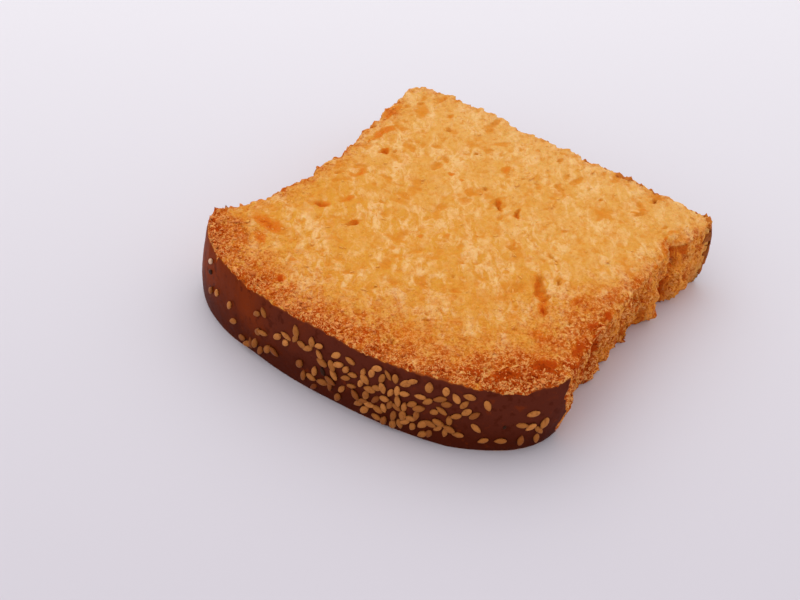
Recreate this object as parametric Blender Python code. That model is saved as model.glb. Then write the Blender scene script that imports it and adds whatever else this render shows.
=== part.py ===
"""A sesame rusk: one thick slice of a sweet pull-apart loaf, dried in the oven.

The slice lies on its lower cut face, Z up. The domed end of the loaf, with its glazed crust
and sesame seeds, looks towards -Y, and the base crust towards +Y. The two sides at -X and +X
are torn crumb, where the slice was pulled from its neighbours in the tin. The origin is under
the middle of the slice, on the face that it rests on. Units are metres.
"""

import math
import random

import bmesh
import bpy
import numpy as np
from mathutils import Matrix, Vector, kdtree, noise
from mathutils.bvhtree import BVHTree

MM = 0.001

# The plan of the slice. A pair holds the left side's value and the right side's.
SHOULDER = (51.8 * MM, 49.6 * MM)  # from the middle to each shoulder, where the dome begins
SHOULDER_Y = -23.8 * MM
DOME_RISE = 23.4 * MM  # from the shoulders to the crown
DOME_SQUARENESS = 2.3  # 2 is an ellipse
DOME_SKEW = -0.02
WAIST = (44.2 * MM, 43.2 * MM)
WAIST_Y = 15.0 * MM
FOOT = (47.4 * MM, 46.4 * MM)
FOOT_Y = 47.4 * MM
FOOT_SKEW = -0.075  # the base crust isn't quite square to the sides
FOOT_RADIUS = 4.0 * MM
PINCH = (8.0 * MM, 26.0 * MM)  # how quickly each side draws in under its shoulder
PLAN_CORNER = math.radians(55)  # where on the dome the grid of the plan has its corners
FOOT_CORNER = 45  # degrees round a foot's arc, where the grid has its other corners
MIDDLE = Vector((-1.8, 1.2, 0.0)) * MM  # the plan's box is centred here before it is moved

# Through the slice.
THICKNESS = 19.1 * MM
WEDGE = -0.018  # the cut is a little thicker at -X
BARREL = 0.9 * MM  # the crust stands out this far between the two cuts
UNEVEN = 0.45 * MM
UNEVEN_LENGTH = 17.0 * MM
RIM_WEAR = 0.5 * MM  # crumb lost along the rims of the torn sides
RIM_WEAR_LENGTH = 2.0 * MM
CRUST_WAVE = 0.35 * MM
CRUST_WAVE_LENGTH = 16.0 * MM

# How far the edge is drawn in at the lower cut: degrees round from the crown, and the distance.
UNDERCUT = (
    (-180, 0.0),
    (-130, 1.2),
    (-75, 0.0),
    (-60, -2.2),
    (-48, -1.2),
    (-32, 0.0),
    (34, 0.0),
    (48, 1.5),
    (58, 3.0),
    (66, 3.6),
    (73, 5.0),
    (82, 4.3),
    (92, 3.4),
    (102, 2.6),
    (116, 1.8),
    (126, 2.8),
    (136, 2.8),
    (150, 0.8),
    (180, 0.0),
)
UNDERCUT_CURVE = 1.5

# The torn sides.
TORN_FROM = -27.5 * MM  # the glazed crust ends here
TORN_EDGE = 4.5 * MM  # over this length the torn crumb fades into crust
LUMP_DEPTH = 2.4 * MM
LUMP_LENGTH = 9.0 * MM
LUMP_AT_TOP = 0.4  # the share of the lumps that reaches the upper cut
LUMP_TALLNESS = 1.5  # a lump's height for its length
LUMP_APART = 3.0  # keeps the lumps of the two sides unalike
RIM_SHARPNESS = 8  # how close to the cuts the torn rims are rounded off
CLEFT_SHARPNESS = 4  # how suddenly a cleft ends above and below
RIM_FOLLOW = 9.0 * MM  # how far into the cut faces the torn outline is felt

# Clefts in the torn sides: side, y, height, width, tallness, depth, and lean. A negative depth
# is a ridge that stands out.
CLEFTS = (
    (1, -18.0, 8.0, 2.6, 16.0, 1.4, 0.00),
    (1, -10.8, 11.0, 4.2, 14.0, 4.4, -0.05),
    (1, -2.5, 9.0, 2.2, 12.0, 2.8, 0.10),
    (1, 3.2, 11.0, 2.2, 9.0, 2.2, -0.10),
    (1, 12.5, 3.0, 3.4, 8.0, 3.0, 0.00),
    (1, 18.5, 7.0, 4.4, 10.0, -3.4, 0.00),
    (1, 25.0, 4.0, 5.0, 12.0, 4.0, 0.00),
    (1, 28.8, 16.5, 4.8, 8.0, 3.2, 0.10),
    (1, 31.6, 6.0, 2.0, 4.0, -1.4, 0.00),
    (1, 37.5, 4.0, 3.2, 8.0, 1.2, 0.00),
    (-1, -17.0, 8.0, 3.0, 14.0, 2.6, 0.12),
    (-1, -6.0, 6.0, 2.8, 12.0, 2.8, -0.10),
    (-1, 7.0, 10.0, 4.0, 10.0, 3.6, 0.08),
    (-1, 12.5, 5.0, 4.4, 9.0, -1.8, 0.00),
    (-1, 20.0, 9.0, 3.0, 13.0, 3.0, -0.10),
    (-1, 31.0, 5.0, 3.4, 10.0, 3.0, 0.10),
    (-1, 38.0, 13.0, 3.2, 7.0, 1.8, 0.00),
)

# The large open cells of the upper cut: x, y, length, width, turn in degrees, and depth.
CELLS = (
    (29.2, -6.4, 17.0, 2.9, -53, 1.5),
    (1.0, 16.6, 5.4, 3.0, -50, 1.2),
    (-6.4, 16.8, 4.4, 3.0, -20, 0.9),
    (7.4, 16.2, 3.6, 2.4, -30, 1.0),
    (-37.5, -22.8, 9.0, 4.6, -8, 0.8),
    (-33.2, -8.4, 4.4, 2.8, 20, 1.2),
    (-28.6, -4.2, 4.0, 2.4, 0, 0.9),
    (-22.0, -10.6, 2.4, 1.8, 30, 1.6),
    (-38.5, 5.0, 4.0, 2.6, 60, 1.0),
    (-34.4, 17.8, 3.2, 2.4, 15, 1.1),
    (43.2, -27.0, 6.0, 4.6, 60, 0.8),
    (38.4, -34.8, 5.0, 2.6, 40, 0.8),
    (36.6, -4.2, 4.0, 2.8, 50, 1.1),
    (36.2, -19.5, 7.0, 4.0, 0, 0.7),
    (-22.0, -38.2, 4.0, 2.6, 15, 0.8),
    (30.6, 34.0, 4.6, 2.4, 60, 0.8),
    (22.5, 30.5, 11.0, 3.6, 12, 0.6),
    (-30.6, 41.9, 3.0, 2.4, 0, 1.0),
    (-10.5, -26.0, 5.0, 3.0, 25, 0.8),
    (12.8, -17.2, 4.4, 1.8, 5, 0.7),
)

# Sesame seeds on the dome's crust.
SEED_DRAW = 7
SEED_LENGTH = 3.0 * MM
SEED_WIDTH = 1.80 * MM
SEED_DEPTH = 0.95 * MM
SEED_SIZES = (0.88, 1.08)  # the smallest and largest seed, as shares of these sizes
SEED_LEAN = (50, 42)  # the usual turn from level, and its spread, in degrees
SEED_TAPER = 0.9  # how much narrower the pointed half ends
SEED_SUNK = 0.30  # the share of its depth that a seed sits in the crust
SEED_GAP = 1.8 * MM  # the least distance between two seeds' middles
SEED_EDGE = 2.0 * MM  # from each cut to the nearest seed's middle
SEED_REACH = 0.98  # the share of the way to each shoulder where seeds lie

# The seeds fell in drifts: x, height, spread in x, spread in height, and number.
DRIFTS = (
    (-41.7, 16.2, 0.1, 0.1, 1),
    (-40.0, 9.5, 2.0, 2.4, 2),
    (-31.5, 6.0, 1.6, 2.4, 3),
    (-23.0, 4.8, 2.6, 2.2, 5),
    (-20.5, 14.5, 0.9, 2.2, 4),
    (-12.0, 12.0, 2.4, 2.8, 6),
    (-8.5, 4.6, 3.2, 2.2, 5),
    (-2.5, 8.5, 2.8, 4.4, 10),
    (5.0, 8.0, 3.0, 4.4, 16),
    (13.0, 8.0, 3.0, 4.2, 21),
    (19.5, 9.0, 3.0, 4.8, 22),
    (27.5, 9.5, 2.2, 4.4, 11),
    (34.5, 12.5, 2.0, 3.4, 8),
    (38.5, 3.4, 1.6, 1.2, 2),
    (45.4, 9.5, 1.6, 3.2, 7),
)

# Mesh sizes. The upper cut and the torn sides halve the cells.
COLUMNS, LINES, ROWS = 20, 17, 4
CURVE_STEPS = 80  # points along each curve of the outline
EDGE_STEPS = 400  # places along each curve where the nearest edge is looked for
TANGENT_STEP = 0.01  # radians either side of a point on the dome
TORN_ENOUGH = 0.3  # the torn share from which the mesh is fine
SEED_SIDES, SEED_RINGS = 5, 3
CLEAR = 10.0 * MM  # a start well outside the crust
SHARP = math.radians(40)

CRUMB_COLOUR = (0.72, 0.36, 0.10, 1.0)
CRUMB_ROUGHNESS = 0.8


def smooth_step(t):
    t = min(max(t, 0.0), 1.0)
    return t * t * (3.0 - 2.0 * t)


# ---- The plan ----------------------------------------------------------------------------


def of_side(pair, x):
    """The left or the right value of a pair."""
    return pair[1] if x > 0 else pair[0]


def half_width(side, y):
    """From the middle to the side at y, below the shoulders. side is -1 or 1."""
    shoulder, waist, foot = (of_side(pair, side) for pair in (SHOULDER, WAIST, FOOT))
    shoulder_y = SHOULDER_Y + DOME_SKEW * side * shoulder
    pinched = (shoulder - waist) * math.exp((shoulder_y - y) / of_side(PINCH, side))
    return waist + pinched + (foot - waist) * smooth_step((y - WAIST_Y) / (FOOT_Y - WAIST_Y))


def dome_point(angle):
    """A point of the domed outline, angle 0 at the crown and +-90 degrees at the shoulders."""
    power = 2 / DOME_SQUARENESS
    x = math.copysign(abs(math.sin(angle)) ** power, angle) * of_side(SHOULDER, angle)
    return (x, SHOULDER_Y - DOME_RISE * max(math.cos(angle), 0.0) ** power + DOME_SKEW * x)


def dome_angle(x):
    """The angle of the dome's point at x."""
    share = min(abs(x) / of_side(SHOULDER, x), 1.0)
    return math.copysign(math.asin(share ** (DOME_SQUARENESS / 2)), x)


def dome_outward(angle):
    """The level direction straight out of the dome at this angle."""
    before, after = dome_point(angle - TANGENT_STEP), dome_point(angle + TANGENT_STEP)
    return Vector((after[1] - before[1], before[0] - after[0], 0)).normalized()


def foot_y(x):
    return FOOT_Y + FOOT_SKEW * x


def corner_arc(side, start, stop):
    """Part of a foot corner's arc, in degrees, 0 where it leaves the side and 90 at the base."""
    reach = half_width(side, FOOT_Y - FOOT_RADIUS)
    centre = (side * (reach - FOOT_RADIUS), foot_y(side * reach) - FOOT_RADIUS)
    angles = np.radians(np.linspace(start, stop, CURVE_STEPS))
    return [
        (centre[0] + side * FOOT_RADIUS * math.cos(a), centre[1] + FOOT_RADIUS * math.sin(a))
        for a in angles
    ]


def dome_arc(start, stop):
    return [dome_point(a) for a in np.linspace(start, stop, CURVE_STEPS)]


def side_curve(side):
    """From the dome's plan corner, round the shoulder and down the side to its foot."""
    dome = dome_arc(side * PLAN_CORNER, side * math.pi / 2)
    last = corner_arc(side, 0, FOOT_CORNER)
    levels = np.linspace(dome[-1][1], last[0][1], CURVE_STEPS)
    flank = [(side * half_width(side, y), y) for y in levels]
    return dome + flank[1:-1] + last


def front_curve():
    return dome_arc(-PLAN_CORNER, PLAN_CORNER)


def back_curve():
    return corner_arc(-1, FOOT_CORNER, 90) + corner_arc(1, 90, FOOT_CORNER)


def resampled(points, count):
    """The curve through these points as count equal steps."""
    points = np.array(points)
    along = np.concatenate([[0], np.cumsum(np.linalg.norm(np.diff(points, axis=0), axis=1))])
    at = np.linspace(0, along[-1], count + 1)
    return np.stack([np.interp(at, along, points[:, k]) for k in range(2)], axis=1)


class Plan:
    """The outline as a grid of points inside four curves, and as a search for the nearest edge."""

    def __init__(self, across, along):
        self.across, self.along = across, along
        self.front = resampled(front_curve(), across)
        self.back = resampled(back_curve(), across)
        self.left = resampled(side_curve(-1), along)
        self.right = resampled(side_curve(1), along)
        self.build_edge()

    def build_edge(self):
        """Every edge point with its outward normal, in a search tree."""
        loop = np.concatenate(
            [
                resampled(front_curve(), EDGE_STEPS)[:-1],
                resampled(side_curve(1), EDGE_STEPS)[:-1],
                resampled(back_curve(), EDGE_STEPS)[::-1][:-1],
                resampled(side_curve(-1), EDGE_STEPS)[::-1][:-1],
            ]
        )
        run = np.roll(loop, -1, axis=0) - np.roll(loop, 1, axis=0)
        self.normals = np.stack([run[:, 1], -run[:, 0]], axis=1)
        self.normals /= np.linalg.norm(self.normals, axis=1)[:, None]
        self.tree = kdtree.KDTree(len(loop))
        for i, (x, y) in enumerate(loop):
            self.tree.insert((x, y, 0), i)
        self.tree.balance()

    def point(self, u, v):
        """The plan at u and v from 0 to 1, blended from the four curves."""
        i, j = round(u * self.across), round(v * self.along)
        ends = (1 - v) * ((1 - u) * self.front[0] + u * self.front[-1])
        ends = ends + v * ((1 - u) * self.back[0] + u * self.back[-1])
        ruled = (1 - v) * self.front[i] + v * self.back[i]
        ruled = ruled + (1 - u) * self.left[j] + u * self.right[j]
        return ruled - ends

    def nearest(self, x, y):
        """The nearest edge point, its outward normal and its distance."""
        place, index, distance = self.tree.find((x, y, 0))
        return place, Vector((*self.normals[index], 0)), distance


# ---- The relief --------------------------------------------------------------------------


def torn_share(x, y):
    """1 on a torn side, 0 on the dome's crust and on the base crust."""
    below_dome = smooth_step((y - TORN_FROM) / TORN_EDGE)
    above_base = smooth_step((foot_y(x) - FOOT_RADIUS - y) / TORN_EDGE)
    return below_dome * above_base


def cleft_depth(side, y, z):
    """How deep the clefts of a torn side are at y and z."""
    depth = 0.0
    for at_side, at, height, width, tall, deep, lean in CLEFTS:
        if at_side == side:
            up = (z - height * MM) / (tall * MM / 2)
            across = (y - at * MM - lean * (z - height * MM)) / (width * MM / 2)
            depth += deep * MM * math.exp(-(across**2) - up**CLEFT_SHARPNESS)
    return depth


def torn_relief(x, y, z):
    """How far a torn side stands out of its plan, negative in the clefts."""
    side = 1 if x > 0 else -1
    place = Vector((LUMP_APART * side, y / LUMP_LENGTH, z / (LUMP_TALLNESS * LUMP_LENGTH)))
    share = 1 - (1 - LUMP_AT_TOP) * smooth_step(2 * z / THICKNESS - 1)
    rim = abs(2 * z / THICKNESS - 1) ** RIM_SHARPNESS
    return LUMP_DEPTH * share * noise.noise(place) - cleft_depth(side, y, z) - RIM_WEAR * rim


def crust_relief(x, y, z):
    """The smooth crust's barrel and its slow waves."""
    barrel = BARREL * (1 - (2 * z / THICKNESS - 1) ** 2)
    place = Vector((x, y, z)) / CRUST_WAVE_LENGTH
    return barrel + CRUST_WAVE * noise.noise(place)


def undercut(x, y, z):
    """How far the edge is drawn in at this height."""
    turned, inset = zip(*UNDERCUT)
    full = np.interp(math.degrees(math.atan2(x, -y)), turned, inset) * MM
    return full * (1 - z / THICKNESS) ** UNDERCUT_CURVE


def edge_relief(x, y, z):
    torn = torn_share(x, y)
    relief = torn * torn_relief(x, y, z) + (1 - torn) * crust_relief(x, y, z)
    return relief - undercut(x, y, z)


def cell_depth(x, y):
    """How deep the large open cells of the upper cut are at x and y."""
    deepest = 0.0
    for cx, cy, length, width, turn, depth in CELLS:
        dx, dy = x - cx * MM, y - cy * MM
        c, s = math.cos(math.radians(turn)), math.sin(math.radians(turn))
        along = (c * dx + s * dy) / (length * MM / 2)
        across = (c * dy - s * dx) / (width * MM / 2)
        inside = 1 - along * along - across * across
        if inside > 0:
            deepest = max(deepest, depth * MM * math.sqrt(inside))
    return deepest


def upper_cut(x, y, distance):
    """The height of the upper cut face."""
    wave = UNEVEN * noise.noise(Vector((x, y, 0)) / UNEVEN_LENGTH)
    worn = torn_share(x, y) * RIM_WEAR * math.exp(-distance / RIM_WEAR_LENGTH)
    return THICKNESS + WEDGE * x + wave - cell_depth(x, y) - worn


def displaced(plan, place):
    """Where a point of the plain slab goes."""
    edge, normal, distance = plan.nearest(place.x, place.y)
    z = place.z
    pull = math.exp(-((distance / RIM_FOLLOW) ** 2))
    moved = normal * (edge_relief(edge.x, edge.y, z) * pull)
    upper = upper_cut(place.x, place.y, distance)
    return Vector((place.x + moved.x, place.y + moved.y, z * upper / THICKNESS)) - MIDDLE


# ---- The solids --------------------------------------------------------------------------


def is_rough(edge):
    """Whether an edge of the plain slab is on the upper cut or on a torn side."""
    if all(v.co.z > THICKNESS - MM for v in edge.verts):
        return True
    return all(v.co.z > MM and torn_share(v.co.x, v.co.y) > TORN_ENOUGH for v in edge.verts)


def subdivided_slab(plan):
    """The plain slab: coarse below and on the crust, and twice as fine on cut and torn crumb."""
    bm = bmesh.new()
    bmesh.ops.create_grid(bm, x_segments=plan.across, y_segments=plan.along, size=1.0)
    for v in bm.verts:
        x, y = plan.point((v.co.x + 1) / 2, (v.co.y + 1) / 2)
        v.co = (x, y, 0)
    grown = bmesh.ops.extrude_face_region(bm, geom=bm.faces[:], use_keep_orig=True)
    raised = [g for g in grown["geom"] if isinstance(g, bmesh.types.BMVert)]
    bmesh.ops.translate(bm, verts=raised, vec=(0, 0, THICKNESS))
    upright = [e for e in bm.edges if abs(e.verts[0].co.z - e.verts[1].co.z) > THICKNESS / 2]
    bmesh.ops.subdivide_edges(bm, edges=upright, cuts=ROWS - 1, use_grid_fill=True)
    rough = [e for e in bm.edges if is_rough(e)]
    bmesh.ops.subdivide_edges(bm, edges=rough, cuts=1, use_grid_fill=True)
    return bm


def make_slice(plan, collection, material):
    bm = subdivided_slab(plan)
    for v in bm.verts:
        v.co = displaced(plan, v.co)
    bmesh.ops.recalc_face_normals(bm, faces=bm.faces[:])
    bmesh.ops.triangulate(bm, faces=bm.faces[:])
    return make_object("rusk", bm, collection, material)


def seed_places():
    """Where each seed lies: its angle on the dome, height, turn and size."""
    draw = random.Random(SEED_DRAW)
    places, taken = [], []
    for middle, height, spread_x, spread_z, count in DRIFTS:
        wanted = len(places) + count
        while len(places) < wanted:
            x = draw.gauss(middle, spread_x) * MM
            z = draw.gauss(height, spread_z) * MM
            turn = math.radians(draw.gauss(*SEED_LEAN))
            size = draw.uniform(*SEED_SIZES)
            top = THICKNESS + WEDGE * x - SEED_EDGE
            if not SEED_EDGE < z < top or abs(x) > SEED_REACH * of_side(SHOULDER, x):
                continue
            angle = dome_angle(x)
            place = Vector((*dome_point(angle), z))
            if any((place - other).length < SEED_GAP for other in taken):
                continue
            taken.append(place)
            places.append((angle, z, turn, size))
    return places


def seed_matrix(surface, angle, z, turn, size):
    """The place of a seed whose long side is its Z and whose thickness is its Y."""
    x, y = dome_point(angle)
    outward = dome_outward(angle)
    start = Vector((x, y, z)) - MIDDLE + outward * CLEAR
    place, normal, _, _ = surface.ray_cast(start, -outward)
    sideways = Vector((0, 0, 1)).cross(normal).normalized()
    long_way = math.cos(turn) * sideways + math.sin(turn) * normal.cross(sideways)
    basis = Matrix((normal.cross(long_way), normal, long_way)).transposed().to_4x4()
    lift = normal * SEED_DEPTH * size * (0.5 - SEED_SUNK)
    return Matrix.Translation(place + lift) @ basis @ Matrix.Scale(size, 4)


def make_seed(matrix):
    """One seed: a flat drop, pointed at one end."""
    bm = bmesh.new()
    bmesh.ops.create_uvsphere(bm, u_segments=SEED_SIDES, v_segments=SEED_RINGS, radius=0.5)
    for v in bm.verts:
        taper = 1 - SEED_TAPER * max(0.0, v.co.z)
        v.co = (v.co.x * SEED_WIDTH * taper, v.co.y * SEED_DEPTH, v.co.z * SEED_LENGTH)
    bmesh.ops.transform(bm, matrix=matrix, verts=bm.verts[:])
    bmesh.ops.recalc_face_normals(bm, faces=bm.faces[:])
    bmesh.ops.triangulate(bm, faces=bm.faces[:])
    return bm


def fuse_seeds(body, material):
    """Joins every seed to the slice with one Boolean, then removes the loose seeds."""
    graph = bpy.context.evaluated_depsgraph_get()
    surface = BVHTree.FromObject(body, graph)
    seeds = bpy.data.collections.new("seeds")
    bpy.context.scene.collection.children.link(seeds)
    for i, place in enumerate(seed_places()):
        make_object(f"seed_{i:03d}", make_seed(seed_matrix(surface, *place)), seeds, material)
    join = body.modifiers.new("seeds", "BOOLEAN")
    join.operation = "UNION"
    join.operand_type = "COLLECTION"
    join.collection = seeds
    graph.update()
    fused = bpy.data.meshes.new_from_object(body.evaluated_get(graph))
    body.modifiers.clear()
    body.data = fused
    for seed in list(seeds.objects):
        bpy.data.objects.remove(seed)
    bpy.data.collections.remove(seeds)


# ---- The scene ---------------------------------------------------------------------------


def make_material():
    material = bpy.data.materials.new("toasted_crumb")
    material.use_nodes = True
    shader = material.node_tree.nodes["Principled BSDF"]
    shader.inputs["Base Color"].default_value = CRUMB_COLOUR
    shader.inputs["Roughness"].default_value = CRUMB_ROUGHNESS
    shader.inputs["Metallic"].default_value = 0.0
    return material


def make_object(name, bm, collection, material):
    mesh = bpy.data.meshes.new(name)
    bm.to_mesh(mesh)
    bm.free()
    mesh.materials.append(material)
    made = bpy.data.objects.new(name, mesh)
    collection.objects.link(made)
    return made


def main():
    for old in list(bpy.data.objects):
        bpy.data.objects.remove(old)
    collection = bpy.data.collections.new("rusk")
    bpy.context.scene.collection.children.link(collection)
    material = make_material()
    body = make_slice(Plan(COLUMNS, LINES), collection, material)
    fuse_seeds(body, material)
    body.data.shade_smooth()
    body.data.set_sharp_from_angle(angle=SHARP)


main()
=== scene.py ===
"""The looks of a sesame rusk: open toasted crumb, a glazed crust and its sesame seeds.

The slice lies on its lower cut face. Its domed crust looks towards -Y, its base crust towards
+Y, and the two torn sides towards -X and +X.
"""

import math
import random

import bmesh
import bpy
import numpy as np
from mathutils import Matrix, Vector, kdtree, noise
from mathutils.bvhtree import BVHTree


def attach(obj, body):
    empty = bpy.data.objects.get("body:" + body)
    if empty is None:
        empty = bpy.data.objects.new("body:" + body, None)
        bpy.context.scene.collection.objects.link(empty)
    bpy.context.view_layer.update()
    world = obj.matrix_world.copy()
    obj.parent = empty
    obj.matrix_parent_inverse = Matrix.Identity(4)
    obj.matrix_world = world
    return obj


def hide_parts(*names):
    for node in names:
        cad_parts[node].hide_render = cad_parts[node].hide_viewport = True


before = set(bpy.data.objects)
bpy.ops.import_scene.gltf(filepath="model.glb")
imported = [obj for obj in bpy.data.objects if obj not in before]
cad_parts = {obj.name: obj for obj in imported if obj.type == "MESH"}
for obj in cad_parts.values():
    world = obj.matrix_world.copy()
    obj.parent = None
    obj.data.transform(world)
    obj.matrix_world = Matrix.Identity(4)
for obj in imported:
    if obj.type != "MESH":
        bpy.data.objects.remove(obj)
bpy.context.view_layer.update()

bl_info = {
    "name": "Sesame rusk",
    "version": (1, 0, 0),
    "blender": (4, 5, 0),
    "location": "3D View > Sidebar > Rusk",
    "description": "Dresses a toasted slice in crumb, glazed crust and sesame seeds",
    "category": "Add Mesh",
}

MM = 0.001
BODY = "root"
NODE = "rusk"

# The plan of the slice. A pair holds the left side's value and the right side's.
SHOULDER = (51.8 * MM, 49.6 * MM)  # from the middle to each shoulder, where the dome begins
SHOULDER_Y = -23.8 * MM
DOME_RISE = 23.4 * MM  # from the shoulders to the crown
DOME_SQUARENESS = 2.3  # 2 is an ellipse
DOME_SKEW = -0.02
WAIST = (44.2 * MM, 43.2 * MM)
WAIST_Y = 15.0 * MM
FOOT = (47.4 * MM, 46.4 * MM)
FOOT_Y = 47.4 * MM
FOOT_SKEW = -0.075  # the base crust isn't quite square to the sides
FOOT_RADIUS = 4.0 * MM
PINCH = (8.0 * MM, 26.0 * MM)  # how quickly each side draws in under its shoulder
PLAN_CORNER = math.radians(55)  # where on the dome the grid of the plan has its corners
FOOT_CORNER = 45  # degrees round a foot's arc, where the grid has its other corners
MIDDLE = np.array((-1.8, 1.2, 0.0)) * MM  # the plan's box is centred here before it is moved

# Through the slice.
THICKNESS = 19.1 * MM
WEDGE = -0.018  # the cut is a little thicker at -X
BARREL = 0.9 * MM  # the crust stands out this far between the two cuts
UNEVEN = 0.45 * MM
UNEVEN_LENGTH = 17.0 * MM
RIM_WEAR = 0.5 * MM  # crumb lost along the rims of the torn sides
RIM_WEAR_LENGTH = 2.0 * MM
CRUST_WAVE = 0.35 * MM
CRUST_WAVE_LENGTH = 16.0 * MM

# How far the edge is drawn in at the lower cut: degrees round from the crown, and the distance.
UNDERCUT = (
    (-180, 0.0),
    (-130, 1.2),
    (-75, 0.0),
    (-60, -2.2),
    (-48, -1.2),
    (-32, 0.0),
    (34, 0.0),
    (48, 1.5),
    (58, 3.0),
    (66, 3.6),
    (73, 5.0),
    (82, 4.3),
    (92, 3.4),
    (102, 2.6),
    (116, 1.8),
    (126, 2.8),
    (136, 2.8),
    (150, 0.8),
    (180, 0.0),
)
UNDERCUT_CURVE = 1.5

# The torn sides.
TORN_FROM = -27.5 * MM  # the glazed crust ends here
TORN_EDGE = 4.5 * MM  # over this length the torn crumb fades into crust
LUMP_DEPTH = 2.4 * MM
LUMP_LENGTH = 9.0 * MM
LUMP_AT_TOP = 0.4  # the share of the lumps that reaches the upper cut
LUMP_TALLNESS = 1.5  # a lump's height for its length
LUMP_APART = 3.0  # keeps the lumps of the two sides unalike
RIM_SHARPNESS = 8  # how close to the cuts the torn rims are rounded off
CLEFT_SHARPNESS = 4  # how suddenly a cleft ends above and below
RIM_FOLLOW = 9.0 * MM  # how far into the cut faces the torn outline is felt

# Clefts in the torn sides: side, y, height, width, tallness, depth, and lean. A negative depth
# is a ridge that stands out.
CLEFTS = (
    (1, -18.0, 8.0, 2.6, 16.0, 1.4, 0.00),
    (1, -10.8, 11.0, 4.2, 14.0, 4.4, -0.05),
    (1, -2.5, 9.0, 2.2, 12.0, 2.8, 0.10),
    (1, 3.2, 11.0, 2.2, 9.0, 2.2, -0.10),
    (1, 12.5, 3.0, 3.4, 8.0, 3.0, 0.00),
    (1, 18.5, 7.0, 4.4, 10.0, -3.4, 0.00),
    (1, 25.0, 4.0, 5.0, 12.0, 4.0, 0.00),
    (1, 28.8, 16.5, 4.8, 8.0, 3.2, 0.10),
    (1, 31.6, 6.0, 2.0, 4.0, -1.4, 0.00),
    (1, 37.5, 4.0, 3.2, 8.0, 1.2, 0.00),
    (-1, -17.0, 8.0, 3.0, 14.0, 2.6, 0.12),
    (-1, -6.0, 6.0, 2.8, 12.0, 2.8, -0.10),
    (-1, 7.0, 10.0, 4.0, 10.0, 3.6, 0.08),
    (-1, 12.5, 5.0, 4.4, 9.0, -1.8, 0.00),
    (-1, 20.0, 9.0, 3.0, 13.0, 3.0, -0.10),
    (-1, 31.0, 5.0, 3.4, 10.0, 3.0, 0.10),
    (-1, 38.0, 13.0, 3.2, 7.0, 1.8, 0.00),
)

# The large open cells of the upper cut: x, y, length, width, turn in degrees, and depth. The
# first is a slit, steeper than the rest.
CELLS = (
    (29.2, -6.4, 17.0, 2.9, -53, 1.5),
    (1.4, 17.0, 6.6, 1.7, -56, 1.3),
    (-6.4, 16.8, 4.4, 2.6, -40, 0.6),
    (7.2, 16.4, 4.4, 1.6, -50, 1.1),
    (-37.5, -22.8, 9.0, 4.6, -8, 0.6),
    (-33.2, -8.4, 4.4, 2.8, 20, 1.2),
    (-28.6, -4.2, 4.0, 2.4, 0, 0.9),
    (-22.0, -10.6, 2.4, 1.8, 30, 1.6),
    (-38.5, 5.0, 4.0, 2.6, 60, 1.0),
    (-34.4, 17.8, 3.2, 2.4, 15, 1.1),
    (43.2, -27.0, 6.0, 4.6, 60, 0.8),
    (38.4, -34.8, 5.0, 2.6, 40, 0.8),
    (36.6, -4.2, 4.0, 2.8, 50, 1.1),
    (36.2, -19.5, 7.0, 4.0, 0, 0.7),
    (-22.0, -38.2, 4.0, 2.6, 15, 0.8),
    (30.6, 34.0, 4.6, 2.4, 60, 0.8),
    (22.5, 30.5, 11.0, 3.6, 12, 0.6),
    (-30.6, 41.9, 3.0, 2.4, 0, 1.0),
    (-10.5, -26.0, 5.0, 3.0, 25, 0.8),
    (12.8, -17.2, 4.4, 1.8, 5, 0.7),
    (13.4, -30.5, 1.6, 1.1, 30, 1.9),
)

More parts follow.
